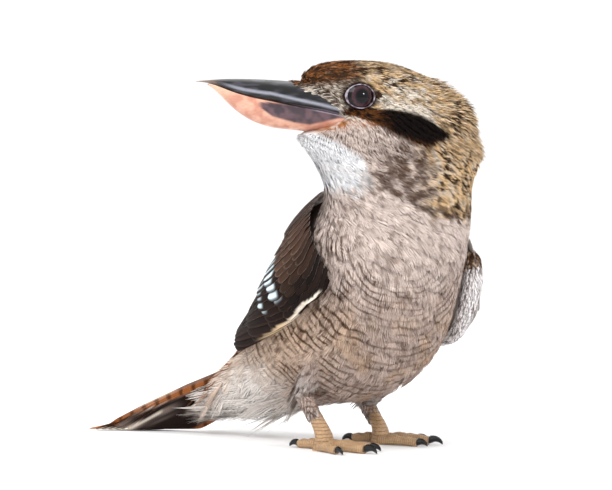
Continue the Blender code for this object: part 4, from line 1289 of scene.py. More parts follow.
    def feathers(self, area: Area, place: Array, angle: Array, seed: int) -> Tufts:
        """Feathers from roots in the skin to tips at the plumage's outer face.

        Args:
            area: which area of the coat.
            place: places of the roots.
            angle: angles of the roots.
            seed: which random numbers.

        Returns:
            A tuft for each barb.
        """
        count, barbs, form = len(place), area.barbs, area.surface
        broad = barbs > 1
        share = np.array([0.0, 0.5, 0.82, 1.0] if broad else [0.0, 0.5, 1.0])
        stations = len(share)
        luck = chance(count, seed, 6)
        wild = chance(count * barbs, seed + 1, 4).reshape(count, barbs, 4) - 0.5
        normal, way, side = self.lie(form, place, angle)
        turn = (luck[:, 0] - 0.5)[:, None] * area.loose
        way, side = unit(way + side * turn), unit(side - way * turn)
        along, around = form.slopes(place, angle)
        moves = np.linalg.solve(np.stack([along, around, normal], -1), way[..., None])[..., 0]
        step = 0.001
        near = form.normal(place + moves[:, 0] * step, angle + np.clip(moves[:, 1] * step, -0.2, 0.2))
        curve = np.clip(((near - normal) * way).sum(-1) / step, -10, 45)[:, None, None]
        curve = curve * (ease(0.2, 1.4, place)[:, None, None] if form is BODY else 1.0)
        depth = self.flesh.depth(place, angle) if form is BODY else np.full(count, form.deep)
        grow, lift = self.growth(area, place, angle, luck)
        length = (area.length * (0.78 + 0.44 * luck[:, 1]) * grow)[:, None, None]
        at = (np.linspace(-1, 1, barbs) if broad else np.zeros(1)) + wild[..., 0] * (0.3 if broad else 0.0)
        run = length * share * (1 - 0.26 * at**2 + (0.16 * wild[..., 1] if broad else 0.0))[..., None]
        width = (area.half * (0.8 + 0.4 * luck[:, 3]))[:, None, None]
        aside = width * at[..., None] * (0.3 + 0.95 * share - 0.25 * share**2)
        low = (-0.9 * depth)[:, None, None]
        stray = (luck[:, 2, None] - 0.5) * 0.0006 + wild[..., 2] * 0.0004
        rise = low + (lift[:, None, None] - low) * share**0.8 + stray[..., None] * share
        line = (
            form.point(place, angle)[:, None, None]
            + way[:, None, None] * run[..., None]
            + side[:, None, None] * aside[..., None]
            + normal[:, None, None] * (rise - 0.5 * curve * run**2 - 0.00012 * at[..., None] ** 2)[..., None]
        )
        bent = unit(normal[:, None, None] + way[:, None, None] * (curve * run)[..., None])
        profile = np.interp(share, (0, 0.35, 0.75, 1.0), (0.6, 1.0, 0.8, 0.1))
        half = width * profile * (1.25 / barbs if broad else 1.0) * (1 + 0.4 * wild[..., 3, None])
        again = np.repeat(np.stack([place, angle, luck[:, 4]], 1), barbs * stations, 0)
        tone = (0.9 + 0.2 * luck[:, 5, None] + 0.12 * wild[..., 1])[..., None, None]
        # Painted shade: each feather is made darker towards its root, where the feathers lying over it shade
        # it.
        tone = tone * (0.9 + 0.1 * share)[:, None]
        colours, bands = (getattr(self.marks, name) for name in area.marks)
        corners = line.reshape(-1, 3)
        colour = colours(corners, *again.T).reshape(line.shape) * tone
        bars = bands(corners, *again[:, :2].T).reshape(line.shape)
        bars[..., 0] += 0.16 * (luck[:, 4, None, None] - 0.5)
        home = np.stack([angle / (2 * math.pi) + 0.5, place / form.last], 1)
        home = home[:, None] + np.stack([0.0011 * at, 0 * at], -1)
        flat, solid = (count * barbs, stations), (count * barbs, stations, 3)
        return Tufts(
            line.reshape(solid),
            np.broadcast_to(side[:, None, None], line.shape).reshape(solid),
            bent.reshape(solid),
            half.reshape(flat),
            (0.00016 * half / half.max()).reshape(flat),
            np.clip(colour, 0, 1).reshape(solid),
            bars.reshape(solid),
            np.clip(home, 0.003, 0.997).reshape(-1, 2),
            0.0004 if broad else 0.0015,
        )

    def shoulder(self, points: Array, angle: Array) -> Array:
        """How far body feathers rise to cover the front edges of the wings, 0 to 1."""
        share = np.zeros(len(points))
        for side, front, back in self.edges:
            far = np.linalg.norm(points[:, None] - front[None], axis=-1)
            near = far.argmin(1)
            ahead = ((points - front[near]) * unit(front - back)[near]).sum(-1)
            close = ease(0.0085, 0.0035, far.min(1)) * ease(-0.001, 0.001, ahead)
            share = np.maximum(share, close * (angle * side > 0))
        return share

    def keep(self, form: Surface, place: Array, angle: Array) -> Array:
        """Which roots lie clear of bill and eyes."""
        points = form.point(place, angle)
        ahead, left, height = head_place(points)
        if isinstance(form, BillSide):
            line = np.interp(ahead, *LORES)
            return (height > line + 0.0012 * (grain(points, 0.002, 91) - 0.5)) & (np.sin(angle) > -0.7)
        eye = (eye_ring(ahead, height) < 1.05) & (np.abs(left) > 0.012)
        _, _, keel, half = Bill.values(np.clip(ahead, 0.002, 0.092))
        low = np.maximum(keel - 0.0005, 0.1968 - 0.43 * (ahead - 0.004))
        bill = (ahead > 0.003) & (np.abs(left) < half + 0.0012)
        bill = bill & (height > low) & (height < np.interp(ahead, *LORES))
        return ~(eye | bill)

    def make(self, material: Material) -> None:
        """All areas, in pieces named for where they grow."""
        for number, area in enumerate(self.areas):
            place, angle = self.roots(area, 0.11 + 0.093 * number)
            good = self.keep(area.surface, place, angle)
            tufts = self.feathers(area, place[good], angle[good], 100 + 7 * number)
            slot = "plumage_head" if area.low > 8 else "plumage_breast"
            tufts.make(self.builder, area.name, material, slot=slot)


# Bill and eyes.


@dataclass
class Bill:
    """Upper and lower bill: lofts along the ridge, mouth line and keel."""

    builder: Builder
    rings: int = 120
    around: int = 56
    # Distance ahead of the eyes, heights of ridge, mouth and keel, and half width.
    TABLE: ClassVar[Array] = np.array(
        [
            (0.002, 0.216, 0.1962, 0.189, 0.02),
            (0.016, 0.2174, 0.2, 0.1888, 0.0162),
            (0.033, 0.2184, 0.2033, 0.1902, 0.0134),
            (0.047, 0.2192, 0.2061, 0.1918, 0.011),
            (0.062, 0.2196, 0.2092, 0.1972, 0.0082),
            (0.074, 0.2195, 0.213, 0.2064, 0.0054),
            (0.0835, 0.2189, 0.2165, 0.215, 0.0028),
            (0.092, 0.2181, 0.2176, 0.2174, 0.0008),
        ]
    )
    # Lower edge of the slate patch: distances ahead of the eyes, then heights.
    PATCH: ClassVar[Array] = np.array(
        [(0.0099, 0.0265, 0.0354, 0.0487, 0.0576), (0.1966, 0.1929, 0.194, 0.1976, 0.2039)]
    )

    @classmethod
    def values(cls, ahead: Array) -> Array:
        """Ridge, mouth, keel and half width at distances ahead of the eyes."""
        return np.moveaxis(Spline(cls.TABLE[:, 0], cls.TABLE[:, 1:])(ahead), -1, 0)

    def loft(
        self,
        name: str,
        grid: tuple[Array, Array, Array],
        colour: Array,
        material: Material,
        slot: str,
        node: str,
    ) -> None:
        """A closed loft through rings.

        Args:
            name: the piece's name.
            grid: ahead, across and up of every corner, (rings, around) each.
            colour: linear colours there, (rings, around, 3).
            material: its finish.
            slot: a name passed on to the builder.
            node: the solid that it stands for.
        """
        points, quads, caps = capped(head_point(*grid).reshape(-1, 3), *grid[1].shape)
        colour = np.vstack([colour.reshape(-1, 3), colour[0, 0], colour[-1, 0]])
        fields = {"plumage": colour}
        self.builder.piece(name, points, quads, material, caps, fields=fields, slot=slot, replaces=(node,))

    def make(self, material: Material) -> None:
        """Both halves of the bill."""
        share = np.linspace(0, 1, self.rings) ** 0.9
        self.upper(0.0024 + (0.092 - 0.0024) * share, material)
        self.lower(0.002 + (0.085 - 0.002) * share, material)

    def upper(self, ahead: Array, material: Material) -> None:
        """Slate-black upper half with a painted highlight line along it, a pale tip, nostrils and a pale edge
        behind.
        """
        ridge, mouth, _, half = self.values(ahead)
        widest = mouth + 0.28 * (ridge - mouth)
        turn = np.radians(np.linspace(-38, 218, self.around))
        across = half[:, None] * np.cos(turn)
        over = widest[:, None] + (ridge - widest)[:, None] * np.sin(turn)
        under = (widest - mouth - 0.00015)[:, None] * np.sin(turn) / math.sin(math.radians(38))
        height = np.where(np.sin(turn) > 0, over, widest[:, None] + under)
        long = np.broadcast_to(ahead[:, None], height.shape)
        points = head_point(long, across, height)
        wear = ease(0.45, 0.85, grain(points, (0.006, 0.006, 0.0012), 51))
        # Painted highlight: a pale grey streak a few millimetres over the mouth line, standing in for the
        # lamps' reflection on the glossy horn.
        line = np.interp(long, (0.01, 0.05, 0.08), (0.003, 0.0042, 0.002))
        painted_highlight = ease(0.0014, 0.0003, np.abs(height - mouth[:, None] - line)) * ease(0.082, 0.066, long)
        nostril = np.hypot((long - 0.0268) / 0.0042, (height - 0.2126 + 0.18 * (long - 0.0268)) / 0.0009)
        edge = ease(0.0012, 0.0004, height - mouth[:, None]) * ease(0.05, 0.02, long)
        colour = layers(
            tint(16, 15, 18),
            (tint(56, 54, 60), wear),
            (tint(150, 152, 164), painted_highlight * 0.75),
            (tint(126, 108, 96), ease(0.076, 0.088, long) * 0.85),
            (tint(8, 7, 8), ease(1.3, 0.8, nostril)),
            (tint(150, 140, 150), edge * 0.8),
        )
        self.loft("upper_bill", (long, across, height), colour, material, "bill_dark", "bill_upper")

    def lower(self, ahead: Array, material: Material) -> None:
        """Peach lower half with a slate patch behind and a grey edge along the mouth."""
        _, mouth, keel, half = self.values(ahead)
        turn = np.radians(np.linspace(0, 180, self.around))
        across = 0.92 * half[:, None] * np.sign(np.cos(turn)) * np.abs(np.cos(turn)) ** 0.9
        height = (mouth - 0.0003)[:, None] - (mouth - keel)[:, None] * np.sin(turn) ** 0.9
        long = np.broadcast_to(ahead[:, None], height.shape)
        points = head_point(long, across, height)
        top = mouth[:, None] - np.interp(long, (0.006, 0.024, 0.044, 0.057), (0.0001, 0.0002, 0.0005, 0.0024))
        low = np.interp(long, *self.PATCH)
        patch = ease(-0.0008, 0.0000, top - height) * ease(-0.0006, 0.0008, height - low)
        slate = mix(tint(88, 66, 72), tint(58, 46, 52), ease(0.3, 0.7, grain(points, 0.003, 53)))
        lips = ease(0.001, 0.0003, top - height) * ease(0.03, 0.022, long)
        colour = layers(
            tint(208, 158, 136),
            (tint(188, 132, 112), ease(0.3, 0.7, grain(points, 0.004, 52))),
            (tint(214, 176, 150), ease(0.07, 0.082, long)),
            (slate, patch * ease(0.058, 0.054, long)),
            (tint(158, 146, 158), lips * 0.8),
        )
        backwards = (long[:, ::-1], across[:, ::-1], height[:, ::-1])
        self.loft("lower_bill", backwards, colour[:, ::-1], material, "bill_pale", "bill_lower")


@dataclass
class Lids:
    """The bare rim of lid round each eye: an oval ring on the eyeball, wider at its corners."""

    builder: Builder
    thick: float = 0.0003

    def make(self, material: Material) -> None:
        """Both rings, as tubes closed both ways."""
        around, roll = 96, np.linspace(0, 2 * math.pi, 12, endpoint=False)[None, :]
        turn = np.linspace(0, 2 * math.pi, around, endpoint=False)[:, None]
        thick = self.thick * (1 + 0.7 * np.abs(np.cos(turn)) ** 6 + 1.3 * np.maximum(np.cos(turn), 0) ** 6)
        ahead = (OPENING_LONG - 0.3 * thick + thick * np.cos(roll)) * np.cos(turn) - OPENING_BACK
        height = EYE_HEIGHT + (OPENING_HIGH + thick * np.cos(roll)) * np.sin(turn)
        out = eye_side(OPENING_LONG * np.cos(turn) - OPENING_BACK, EYE_HEIGHT + OPENING_HIGH * np.sin(turn))
        ring = grid_quads(around, 12, True)
        first, last = np.arange(12), (around - 1) * 12 + np.arange(12)
        seam = np.stack([last, np.roll(last, -1), np.roll(first, -1), first], 1)
        ring = np.vstack([ring, seam])
        points, quads = [], []
        for number, side in enumerate((1, -1)):
            left = side * (out + 0.0002 + np.minimum(thick, 0.0007) * np.sin(roll))
            points.append(head_point(ahead, left, height).reshape(-1, 3))
            quads.append((ring if side > 0 else ring[:, ::-1]) + number * around * 12)
        points = np.vstack(points)
        colour = mix(tint(158, 150, 160), tint(78, 64, 74), ease(0.35, 0.7, grain(points, 0.0016, 61)))
        self.builder.piece(
            "eyelids", points, np.vstack(quads), material, fields={"plumage": colour}, slot="plumage_head"
        )


# Wings and tail.


@dataclass
class Vanes:
    """Broad feathers as grids of stations by columns, with both faces and a thin rim.

    Attributes:
        points: middles of the blades, (n, k, c, 3).
        normal: their upper side, (n, k, c, 3).
        thick: thickness at the shaft.
        top: colours of the upper faces, (n, k, c, 3).
        under: colours of the lower faces.
        top_bars: phase, strength and barb of the upper faces, (n, k, c, 3).
        under_bars: the same of the lower faces.
    """

    points: Array
    normal: Array
    thick: float
    top: Array
    under: Array
    top_bars: Array
    under_bars: Array

    def make(self, builder: Builder, name: str, material: Material, **extra: object) -> Piece:
        """One piece of all vanes, thick at the shaft and thin at the rim.

        Args:
            builder: makes the piece.
            name: the piece's name.
            material: its finish.
            extra: flip, slot and replaces; flip turns all faces round.

        Returns:
            The new object.
        """
        count, stations, columns, _ = self.points.shape
        across = np.linspace(-1, 1, columns)
        wall = (self.thick * (1 - 0.7 * np.abs(across)))[:, None] * self.normal
        points = np.stack([self.points + wall / 2, self.points - wall / 2], 1)
        quads = shell_quads(stations, columns)
        if extra.pop("flip", False):
            quads = quads[:, ::-1]
        many = int(math.ceil(math.sqrt(count)))
        along = np.linspace(0, 1, stations)[None, :, None]
        number = np.arange(count)[:, None, None]
        u = (number % many + 0.5 + across * 0.38) / many + 0 * along
        v = (number // many + 0.05 + 0.9 * along) / many + 0 * across
        uv = np.broadcast_to(np.stack([u, v], -1)[:, None], (count, 2, stations, columns, 2))
        fields = {
            "plumage": np.stack([self.top, self.under], 1).reshape(-1, 3),
            "bars": np.stack([self.top_bars, self.under_bars], 1).reshape(-1, 3),
        }
        faces = repeat_faces(quads, count, 2 * stations * columns)
        flat = uv.reshape(-1, 2)
        return builder.piece(name, points.reshape(-1, 3), faces, material, uv=flat, fields=fields, **extra)


# Thickness of a vane at its shaft, metres.
VANE_THICK = 0.0004
# Factors of the sine that gives each feather of a tier a shade of its own.
SHADE_STEP, SHADE_SCALE = 12.9898, 43758.5453


class Pattern(Enum):
    """How a tier of wing feathers is marked."""

    COVERT = "brown with paler fringes"
    SPOT = "a blue-white spot at the tip"
    CRESCENT = "a pale crescent at the tip"
    FLIGHT = "dark with a fine pale edge"
    SCAPULAR = "smooth brown"


@dataclass(frozen=True)
class Tier:
    """One tier of wing feathers.

    Attributes:
        name: what the tier is.
        pattern: how it is marked.
        count: how many feathers.
        across: first and last place across the wing, leading edge 0 to back 1.
        roots: where their roots lie along it, first and last.
        tips: where their tips lie along it, first and last.
        half: half width, metres.
        lift: how high the first lies over the core.
        rise: how much higher each next one lies.
    """

    name: str
    pattern: Pattern
    count: int
    across: Pair
    roots: Pair
    tips: Pair
    half: float
    lift: float
    rise: float


@dataclass
class Wing:
    """One folded wing over the flank, in tiers from the flight feathers up to the scapulars."""

    builder: Builder
    side: int
    rows: Array
    edge: Array
    depth: float
    start: float = 6.1
    shoulder: float = 7.8
    end: float = 1.75
    tiers: tuple[Tier, ...] = (
        Tier("primaries", Pattern.FLIGHT, 8,
             (-0.1, 0.5), (0.34, 0.32), (0.78, 0.86), 0.0054, 0.0002, 0.0004),
        Tier("secondaries", Pattern.FLIGHT, 11,
             (-0.02, 0.84), (0.28, 0.26), (0.57, 0.76), 0.0052, 0.0014, 0.0003),
        Tier("greater_coverts", Pattern.CRESCENT, 14,
             (0.03, 0.74), (0.2, 0.2), (0.36, 0.58), 0.0044, 0.0032, 0.0002),
        Tier("median_coverts", Pattern.SPOT, 13,
             (0.05, 0.7), (0.1, 0.12), (0.24, 0.47), 0.004, 0.0044, 0.00014),
        Tier("lesser_coverts", Pattern.COVERT, 15,
             (0.04, 0.8), (0.04, 0.04), (0.18, 0.3), 0.0038, 0.0052, 0.0001),
        Tier("small_coverts", Pattern.COVERT, 17,
             (0.03, 0.86), (-0.02, -0.02), (0.12, 0.2), 0.0034, 0.0057, 0.00008),
        Tier("marginal_coverts", Pattern.COVERT, 19,
             (0.02, 0.92), (-0.1, -0.08), (0.05, 0.11), 0.003, 0.006, 0.00006),
        Tier("scapulars", Pattern.SCAPULAR, 7,
             (0.62, 1.02), (0.00, -0.02), (0.28, 0.6), 0.0086, 0.006, 0.0003),
        Tier("shoulder_feathers", Pattern.SCAPULAR, 6,
             (0.66, 1.02), (-0.07, -0.08), (0.14, 0.3), 0.008, 0.0072, 0.0002),
    )
    # Widths of a vane, as shares of its half width, at shares of its length.
    SHAPE: ClassVar[Array] = np.array(
        [(0, 0.3, 0.72, 0.86, 0.95, 1.0), (0.5, 0.9, 1.0, 0.88, 0.58, 0.12)]
    )
    # How high the core's outer face stands over the surface under the wing, at places along it.
    HEIGHTS: ClassVar[Array] = np.array(
        [(-0.06, 0.0, 0.08, 0.2, 0.32, 0.45, 0.6), (-0.003, 0.0022, 0.003, 0.0012, 0, -0.0004, -0.001)]
    )

    @property
    def label(self) -> str:
        """Which wing it is."""
        return "left" if self.side > 0 else "right"

    def under(self, along: Array, across: Array) -> tuple[Array, Array]:
        """The surface under the wing and its outward normal."""
        place = self.start + (self.shoulder - self.start) * across
        place = place + (self.end - place) * along
        knots, lead, back, off = self.rows.T
        lead, back = np.interp(along, knots, lead), np.interp(along, knots, back)
        off = np.interp(along, knots, off) * (1 - np.clip(across / 0.7, 0, 1)) ** 1.2
        angle = self.side * np.radians(lead + (back - lead) * across)
        normal = SHEATH.normal(place, angle)
        return SHEATH.point(place, angle) + normal * off[..., None], normal

    def colours(
        self, tier: Tier, number: Array, share: Array, blade: Array, along: Array, across: Array
    ) -> Array:
        """The colours of one tier's upper faces.

        Args:
            tier: which tier.
            number: number of each feather.
            share: how far along the feather, 0 to 1.
            blade: place across it, -1 to 1.
            along: how far along the wing.
            across: how far across the wing.

        Returns:
            Linear colours with the shape of the broadcast arguments.
        """
        luck = (np.sin(number * SHADE_STEP + 4.1 + 3 * len(tier.name)) * SHADE_SCALE) % 1.0
        edge = np.maximum(ease(0.7, 1.0, np.abs(blade)), ease(0.9, 1.0, share))
        dark = Ink.WING * (0.5 + 0.35 * luck[..., None])
        shaft = ease(0.12, 0.0, np.abs(blade))
        if tier.pattern is Pattern.COVERT:
            fringe = edge * 0.3 * ease(0.4, 0.9, share) * ease(0.08, 0.35, across)
            colour = layers(
                dark * 0.8,
                (Ink.COVERT * (0.8 + 0.4 * luck[..., None]), ease(0.1, 0.42, across + 0.12 * luck)),
                (Ink.WING_EDGE, fringe),
                (dark * 0.6, shaft * 0.4),
            )
        elif tier.pattern is Pattern.SCAPULAR:
            brown = Ink.COVERT * (0.62 + 0.22 * luck[..., None])
            colour = layers(brown, (Ink.WING * 0.7, edge * 0.7), (Ink.WING * 0.5, shaft * 0.5))
        elif tier.pattern is Pattern.FLIGHT:
            fine = ease(-0.8, -0.97, blade) * 0.6
            colour = layers(dark, (Ink.COVERT, fine), (dark * 0.6, shaft * 0.6))
        else:
            small = 0.0 if tier.pattern is Pattern.SPOT else 0.12
            bright = np.where(small > 0, 0.35 + 0.65 * luck, 0.8 + 0.2 * luck)
            spot = self.spot(small, share, blade, across)
            colour = layers(dark, (Ink.COVERT, edge * 0.5), (Ink.SPOT, spot * bright))
        if self.side > 0:
            return mix(colour, Ink.COVERT, ease(0.034, 0.012, across) * 0.7)
        rim = layers(
            Ink.CREAM,
            (Ink.TAIL_TIP * 0.8, ease(0.16, 0.34, along)),
            (Ink.COVERT * 1.2, ease(0.34, 0.58, along)),
        )
        white = ease(0.013, 0.005, across) * ease(-0.01, 0.03, along) * ease(0.6, 0.46, along)
        return mix(colour, rim, white * 0.9)

    def spot(self, small: float, share: Array, blade: Array, across: Array) -> Array:
        """Where a feather's pale spot is: at its tip, and on the middle of the wing only."""
        longer = ease(0.3, 0.42, across)
        spot = ease(0.64 + small - 0.18 * longer, 0.74 + small - 0.14 * longer, share)
        spot = spot * ease(1.0, 0.96, share)
        spot = spot * ease(0.86 - small - 0.22 * longer, 0.52 - small - 0.2 * longer, np.abs(blade - 0.08))
        return spot * (ease(0.13, 0.2, across) * ease(0.72, 0.6, across))

    def tier(self, tier: Tier, material: Material) -> None:
        """Builds one tier: each vane follows the wing, and the next one covers its edge."""
        stations, columns = 28, 7
        number = np.arange(tier.count)
        part = number / (tier.count - 1)
        luck = chance(tier.count, 7 + self.side, 3)
        middle = (np.interp(part, (0, 1), tier.across) + (luck[:, 0] - 0.5) * 0.012)[:, None]
        root = np.interp(part, (0, 1), tier.roots)[:, None]
        tip = (np.interp(part, (0, 1), tier.tips) + (luck[:, 1] - 0.5) * 0.016)[:, None]
        share = np.linspace(0, 1, stations)[None]
        along = root + (tip - root) * share
        half = tier.half * np.interp(share, *self.SHAPE)
        aside, here = (self.under(along, middle + step + 0 * along)[0] for step in (0.02, 0.0))
        scale = np.linalg.norm(aside - here, axis=-1) / 0.02
        blade = np.linspace(-1, 1, columns)
        across = (middle + 0 * along)[..., None] + blade * (half / np.maximum(scale, 0.02))[..., None]
        border = np.interp(along, *self.edge)[..., None]
        across = np.where(across < border, border + 0.15 * (across - border), across)
        along = np.broadcast_to(along[..., None], across.shape)
        point, normal = self.under(along, across)
        flat = 1 if self.side < 0 else 0.05 + 0.95 * ease(-0.06, 0.2, along)
        lift = (tier.lift + tier.rise * number[:, None, None]) * flat
        lift = lift - 0.003 * (1 - share[..., None]) ** 2
        lift = lift - (0.16 * blade + 0.1 * blade**2) * half[..., None]
        lift = lift - 0.006 * ease(0.8, 1.05, across) * ease(0.3, 0.0, along)
        point = point + normal * lift[..., None]
        grid = np.broadcast_arrays(number[:, None, None], share[..., None], blade)
        top = self.colours(tier, grid[0], grid[1], grid[2], along, across - border)
        under = self.below(point, along, across)
        barb = grid[1] * 40.0 * np.ptp(tier.tips + tier.roots) - 3.0 * np.abs(grid[2])
        bars = np.stack([0 * barb, 0 * barb, barb], -1)
        vanes = Vanes(point, normal, VANE_THICK, top, under, bars, bars)
        name = f"{self.label}_wing_{tier.name}"
        vanes.make(self.builder, name, material, flip=self.side > 0, slot="plumage_wing")

    def below(self, points: Array, along: Array, across: Array) -> Array:
        """Colours of the wing's inner side: pale grey, few dark spots, browner to its tip and rim."""
        return layers(
            Ink.UNDER,
            (Ink.TAIL_UNDER, ease(0.5, 0.85, along)),
            (Ink.WING, ease(0.74, 0.86, grain(points, (0.004, 0.004, 0.007), 71)) * 0.8),
            (Ink.COVERT, ease(0.05, 0.01, across) * 0.8),
        )

    def front(self) -> tuple[int, Array, Array]:
        """Its side, and points on its front edge and just behind it."""
        along = np.linspace(-0.12, 0.06, 40)
        border = np.interp(along, *self.edge)
        return self.side, self.under(along, border)[0], self.under(along, border + 0.06)[0]

    def core(self, material: Material) -> None:
        """The arm under the coverts: a closed patch whose outer and inner face meet at its rim."""
        rows, columns = 60, 34
        run, width = np.linspace(-0.05, 0.6, rows), np.linspace(0.0, 1.0, columns)
        along, across = np.broadcast_arrays(run[:, None], width[None, :])
        rim = np.clip(np.minimum(across + 0.02, 1.02 - across) / 0.22, 0, 1)
        point, normal = self.under(along, across + (1 - across) * np.interp(along, *self.edge))
        swell = np.sqrt(rim * (2 - rim))
        high = np.interp(along, *self.HEIGHTS)
        outer = point + normal * (-0.002 + (high + 0.002) * swell)[..., None]
        inner = point - normal * (0.003 + (self.depth - 0.003) * swell * ease(0.62, 0.35, along))[..., None]
        quads = shell_quads(rows, columns)
        if self.side > 0:
            quads = quads[:, ::-1]
        points = np.concatenate([outer.reshape(-1, 3), inner.reshape(-1, 3)])
        below = self.below(inner, along, across).reshape(-1, 3)
        colour = np.concatenate([np.tile(Ink.WING, (len(below), 1)), below])
        uv = 0.48 * np.stack([across.ravel(), along.ravel()], -1)
        uv = np.concatenate([uv + 0.03, uv + 0.5])
        fields = {"plumage": colour, "bars": np.zeros_like(colour)}
        name, node = f"{self.label}_wing_core", f"wing_{self.label}"
        self.builder.piece(
            name, points, quads, material, uv=uv, fields=fields, slot="plumage_wing", replaces=(node,)
        )

    def make(self, material: Material) -> None:
        """Core and all tiers."""
        self.core(material)
        for tier in self.tiers:
            self.tier(tier, material)


@dataclass
class Tail:
    """The tail on its sheet: twelve flight feathers, right edge raised, tips on the floor."""

    builder: Builder
    tip: ClassVar[Array] = np.array([-0.0763, 0.1808, 0.0])
    back: ClassVar[Array] = np.array([-0.478, 0.763, -0.434])
    across: ClassVar[Array] = np.array([-0.654, 0.02, 0.754])
    bend: ClassVar[float] = 0.0016
    # Widths of a feather, as shares of its half width, at shares of its length.
    SHAPE: ClassVar[Array] = np.array(
        [(0, 0.3, 0.6, 0.8, 0.92, 0.98, 1.0), (1.05, 1.1, 0.98, 0.74, 0.5, 0.3, 0.08)]
    )
    roots: Triple = (-0.0205, -0.019, -0.0235)
    tips: Triple = (-0.019, -0.0125, -0.035)
    start: float = -0.113
    outer_end: float = -0.024
    half: float = 0.01
    pairs: int = 6
    step: float = 0.0009

    @classmethod
    def sheet(cls, back: Array, up: Array, layer: Array) -> tuple[Array, Array]:
        """A point of the sheet, which bends flat where it meets the floor, and its normal."""
        flat = cls.tip + back[..., None] * cls.back + up[..., None] * cls.across
        height = flat[..., 2] - 0.0012
        root = np.sqrt(height**2 + cls.bend**2)
        slope = 0.5 * (1 + height / root)
        flat[..., 2] = 0.5 * (height + root)
        plane = np.cross(cls.across, cls.back)
        plane = plane / np.linalg.norm(plane) * np.sign(plane[2])
        normal = unit(slope[..., None] * plane + (1 - slope)[..., None] * UP)
        return flat + normal * layer[..., None], normal

    def top(self, outer: Array, share: Array, blade: Array) -> Array:
        """Rufous feathers with white tips, the middle pair plain brown."""
        return layers(
            Ink.WING,
            (Ink.TAIL, 0.75 + 0.25 * ease(0.08, 0.35, outer)),
            (Ink.WING * 0.6, ease(0.14, 0.0, np.abs(blade)) * 0.6),
            (Ink.CREAM, ease(0.9, 0.95, share) * ease(0.1, 0.4, outer)),
        )

    def under(self, points: Array, share: Array, edge: Array) -> Array:
        """Dusky grey-brown with pale streaks and tips, and rufous along the edges."""
        long = np.stack([points @ self.back / 0.03, points @ self.across / 0.002, 0 * share], -1)
        streak = grain(long, 1.0, 81)
        return layers(
            Ink.WING * 0.8,
            (Ink.TAIL_UNDER * 0.7, ease(0.38, 0.66, streak)),
            (Ink.CREAM, ease(0.66, 0.84, streak) * 0.6),
            (Ink.TAIL_TIP * 0.7, ease(0.93, 0.97, share) * 0.9),
            (Ink.TAIL * 0.62, edge),
        )

    def make(self, material: Material) -> None:
        """The flight feathers, layered from the outer pair up to the middle pair."""
        stations, columns, count = 56, 11, 2 * self.pairs
        levels = self.pairs - 0.5
        number = np.arange(count)
        place = (number - levels) / levels
        root_up = np.interp(place, (-1, 0, 1), self.roots)[:, None]
        tip_up = np.interp(place, (-1, 0, 1), self.tips)[:, None]
        end = (self.outer_end * np.abs(place))[:, None]
        share = np.linspace(0, 1, stations)[None]
        back = self.start + (end - self.start) * share
        up = root_up + (tip_up - root_up) * share**1.15
        level = (levels - np.abs(number - levels) + 0.5 * (place > 0))[:, None]
        lower = level - levels * (1 - back / self.outer_end)
        layer = 0.0006 + self.step * np.clip(np.minimum(level, lower), 0, None)
        half = self.half * np.interp(share, *self.SHAPE)
        blade = np.linspace(-1, 1, columns)
        shape = (count, stations, columns)
        across = np.broadcast_to(up[..., None] + blade * half[..., None], shape)
        back = np.broadcast_to(back[..., None], shape) - 0.003 * np.abs(blade) ** 2 * share[..., None]
        line, normal = self.sheet(back, across, np.broadcast_to(layer[..., None], shape))
        grid = [np.broadcast_to(a, shape) for a in (number[:, None, None], share[..., None], blade)]
        outer = np.abs(grid[0] - levels) / levels
        top = self.top(outer, grid[1], grid[2])
        barb = -back / 0.0016 - 2.5 * np.abs(grid[2])
        phase = -back / 0.0092 + 0.35 * np.abs(grid[2])
        strong = 0.95 * ease(0.9, 0.86, grid[1])
        reach = np.clip((back - self.start) / -self.start, 0, 1)
        upper = self.roots[1] + (self.tips[1] - self.roots[1]) * reach**1.15
        upper = upper + self.half * np.interp(reach, *self.SHAPE)
        inside = (upper - across) / (1.0 - 0.5 * reach)
        rufous = ease(0.0042, 0.0032, inside) * ease(0.0006, 0.0014, inside)
        outmost = ease(0.93, 0.97, outer) * ease(0.7, 0.85, -grid[2]) * (grid[0] > levels)
        edge = np.maximum(rufous, outmost) * ease(0.985, 0.95, reach)
        under = self.under(line, grid[1], edge)
        bars, lower = np.stack([phase, strong, barb], -1), np.stack([phase, edge, barb], -1)
        vanes = Vanes(line, normal, VANE_THICK, top, under, bars, lower)
        vanes.make(self.builder, "tail_feathers", material, slot="plumage_tail", replaces=("tail",))


# The folded wings: place along the wing, angles of its front and back round the body, and how
# far it stands off there.
RIGHT_WING = np.array(
    [
        (0.00, 60, 132, 0),
        (0.25, 68, 150, 0),
        (0.5, 88, 158, 0),
        (0.75, 106, 158, 0),
        (1.00, 116, 146, 0),
    ]
)
LEFT_WING = np.array(
    [
        (0.00, 74, 122, 0.009),
        (0.12, 60, 132, 0.017),
        (0.25, 64, 142, 0.018),
        (0.42, 80, 152, 0.008),
        (0.6, 94, 156, 0.004),
        (0.8, 106, 156, 0.002),
        (1.00, 118, 146, 0.001),
    ]
)
# Front edges of the wings: places along the wing, then how far across it the edge lies.
RIGHT_EDGE = np.array(
    [
        (-0.1, 0.0, 0.06, 0.12, 0.25, 0.33, 0.42, 0.5, 0.6, 0.7, 0.8),
        (0.0, 0.0, 0.02, 0.055, 0.06, 0.04, 0.0, -0.04, -0.1, -0.18, -0.26),
    ]
)
LEFT_EDGE = np.array(
    [(-0.1, 0.0, 0.06, 0.12, 0.18, 0.25, 0.5, 0.8), (0.0, 0.02, 0.06, 0.1, 0.06, 0.0, 0.0, 0.0)]
)


# Studio.


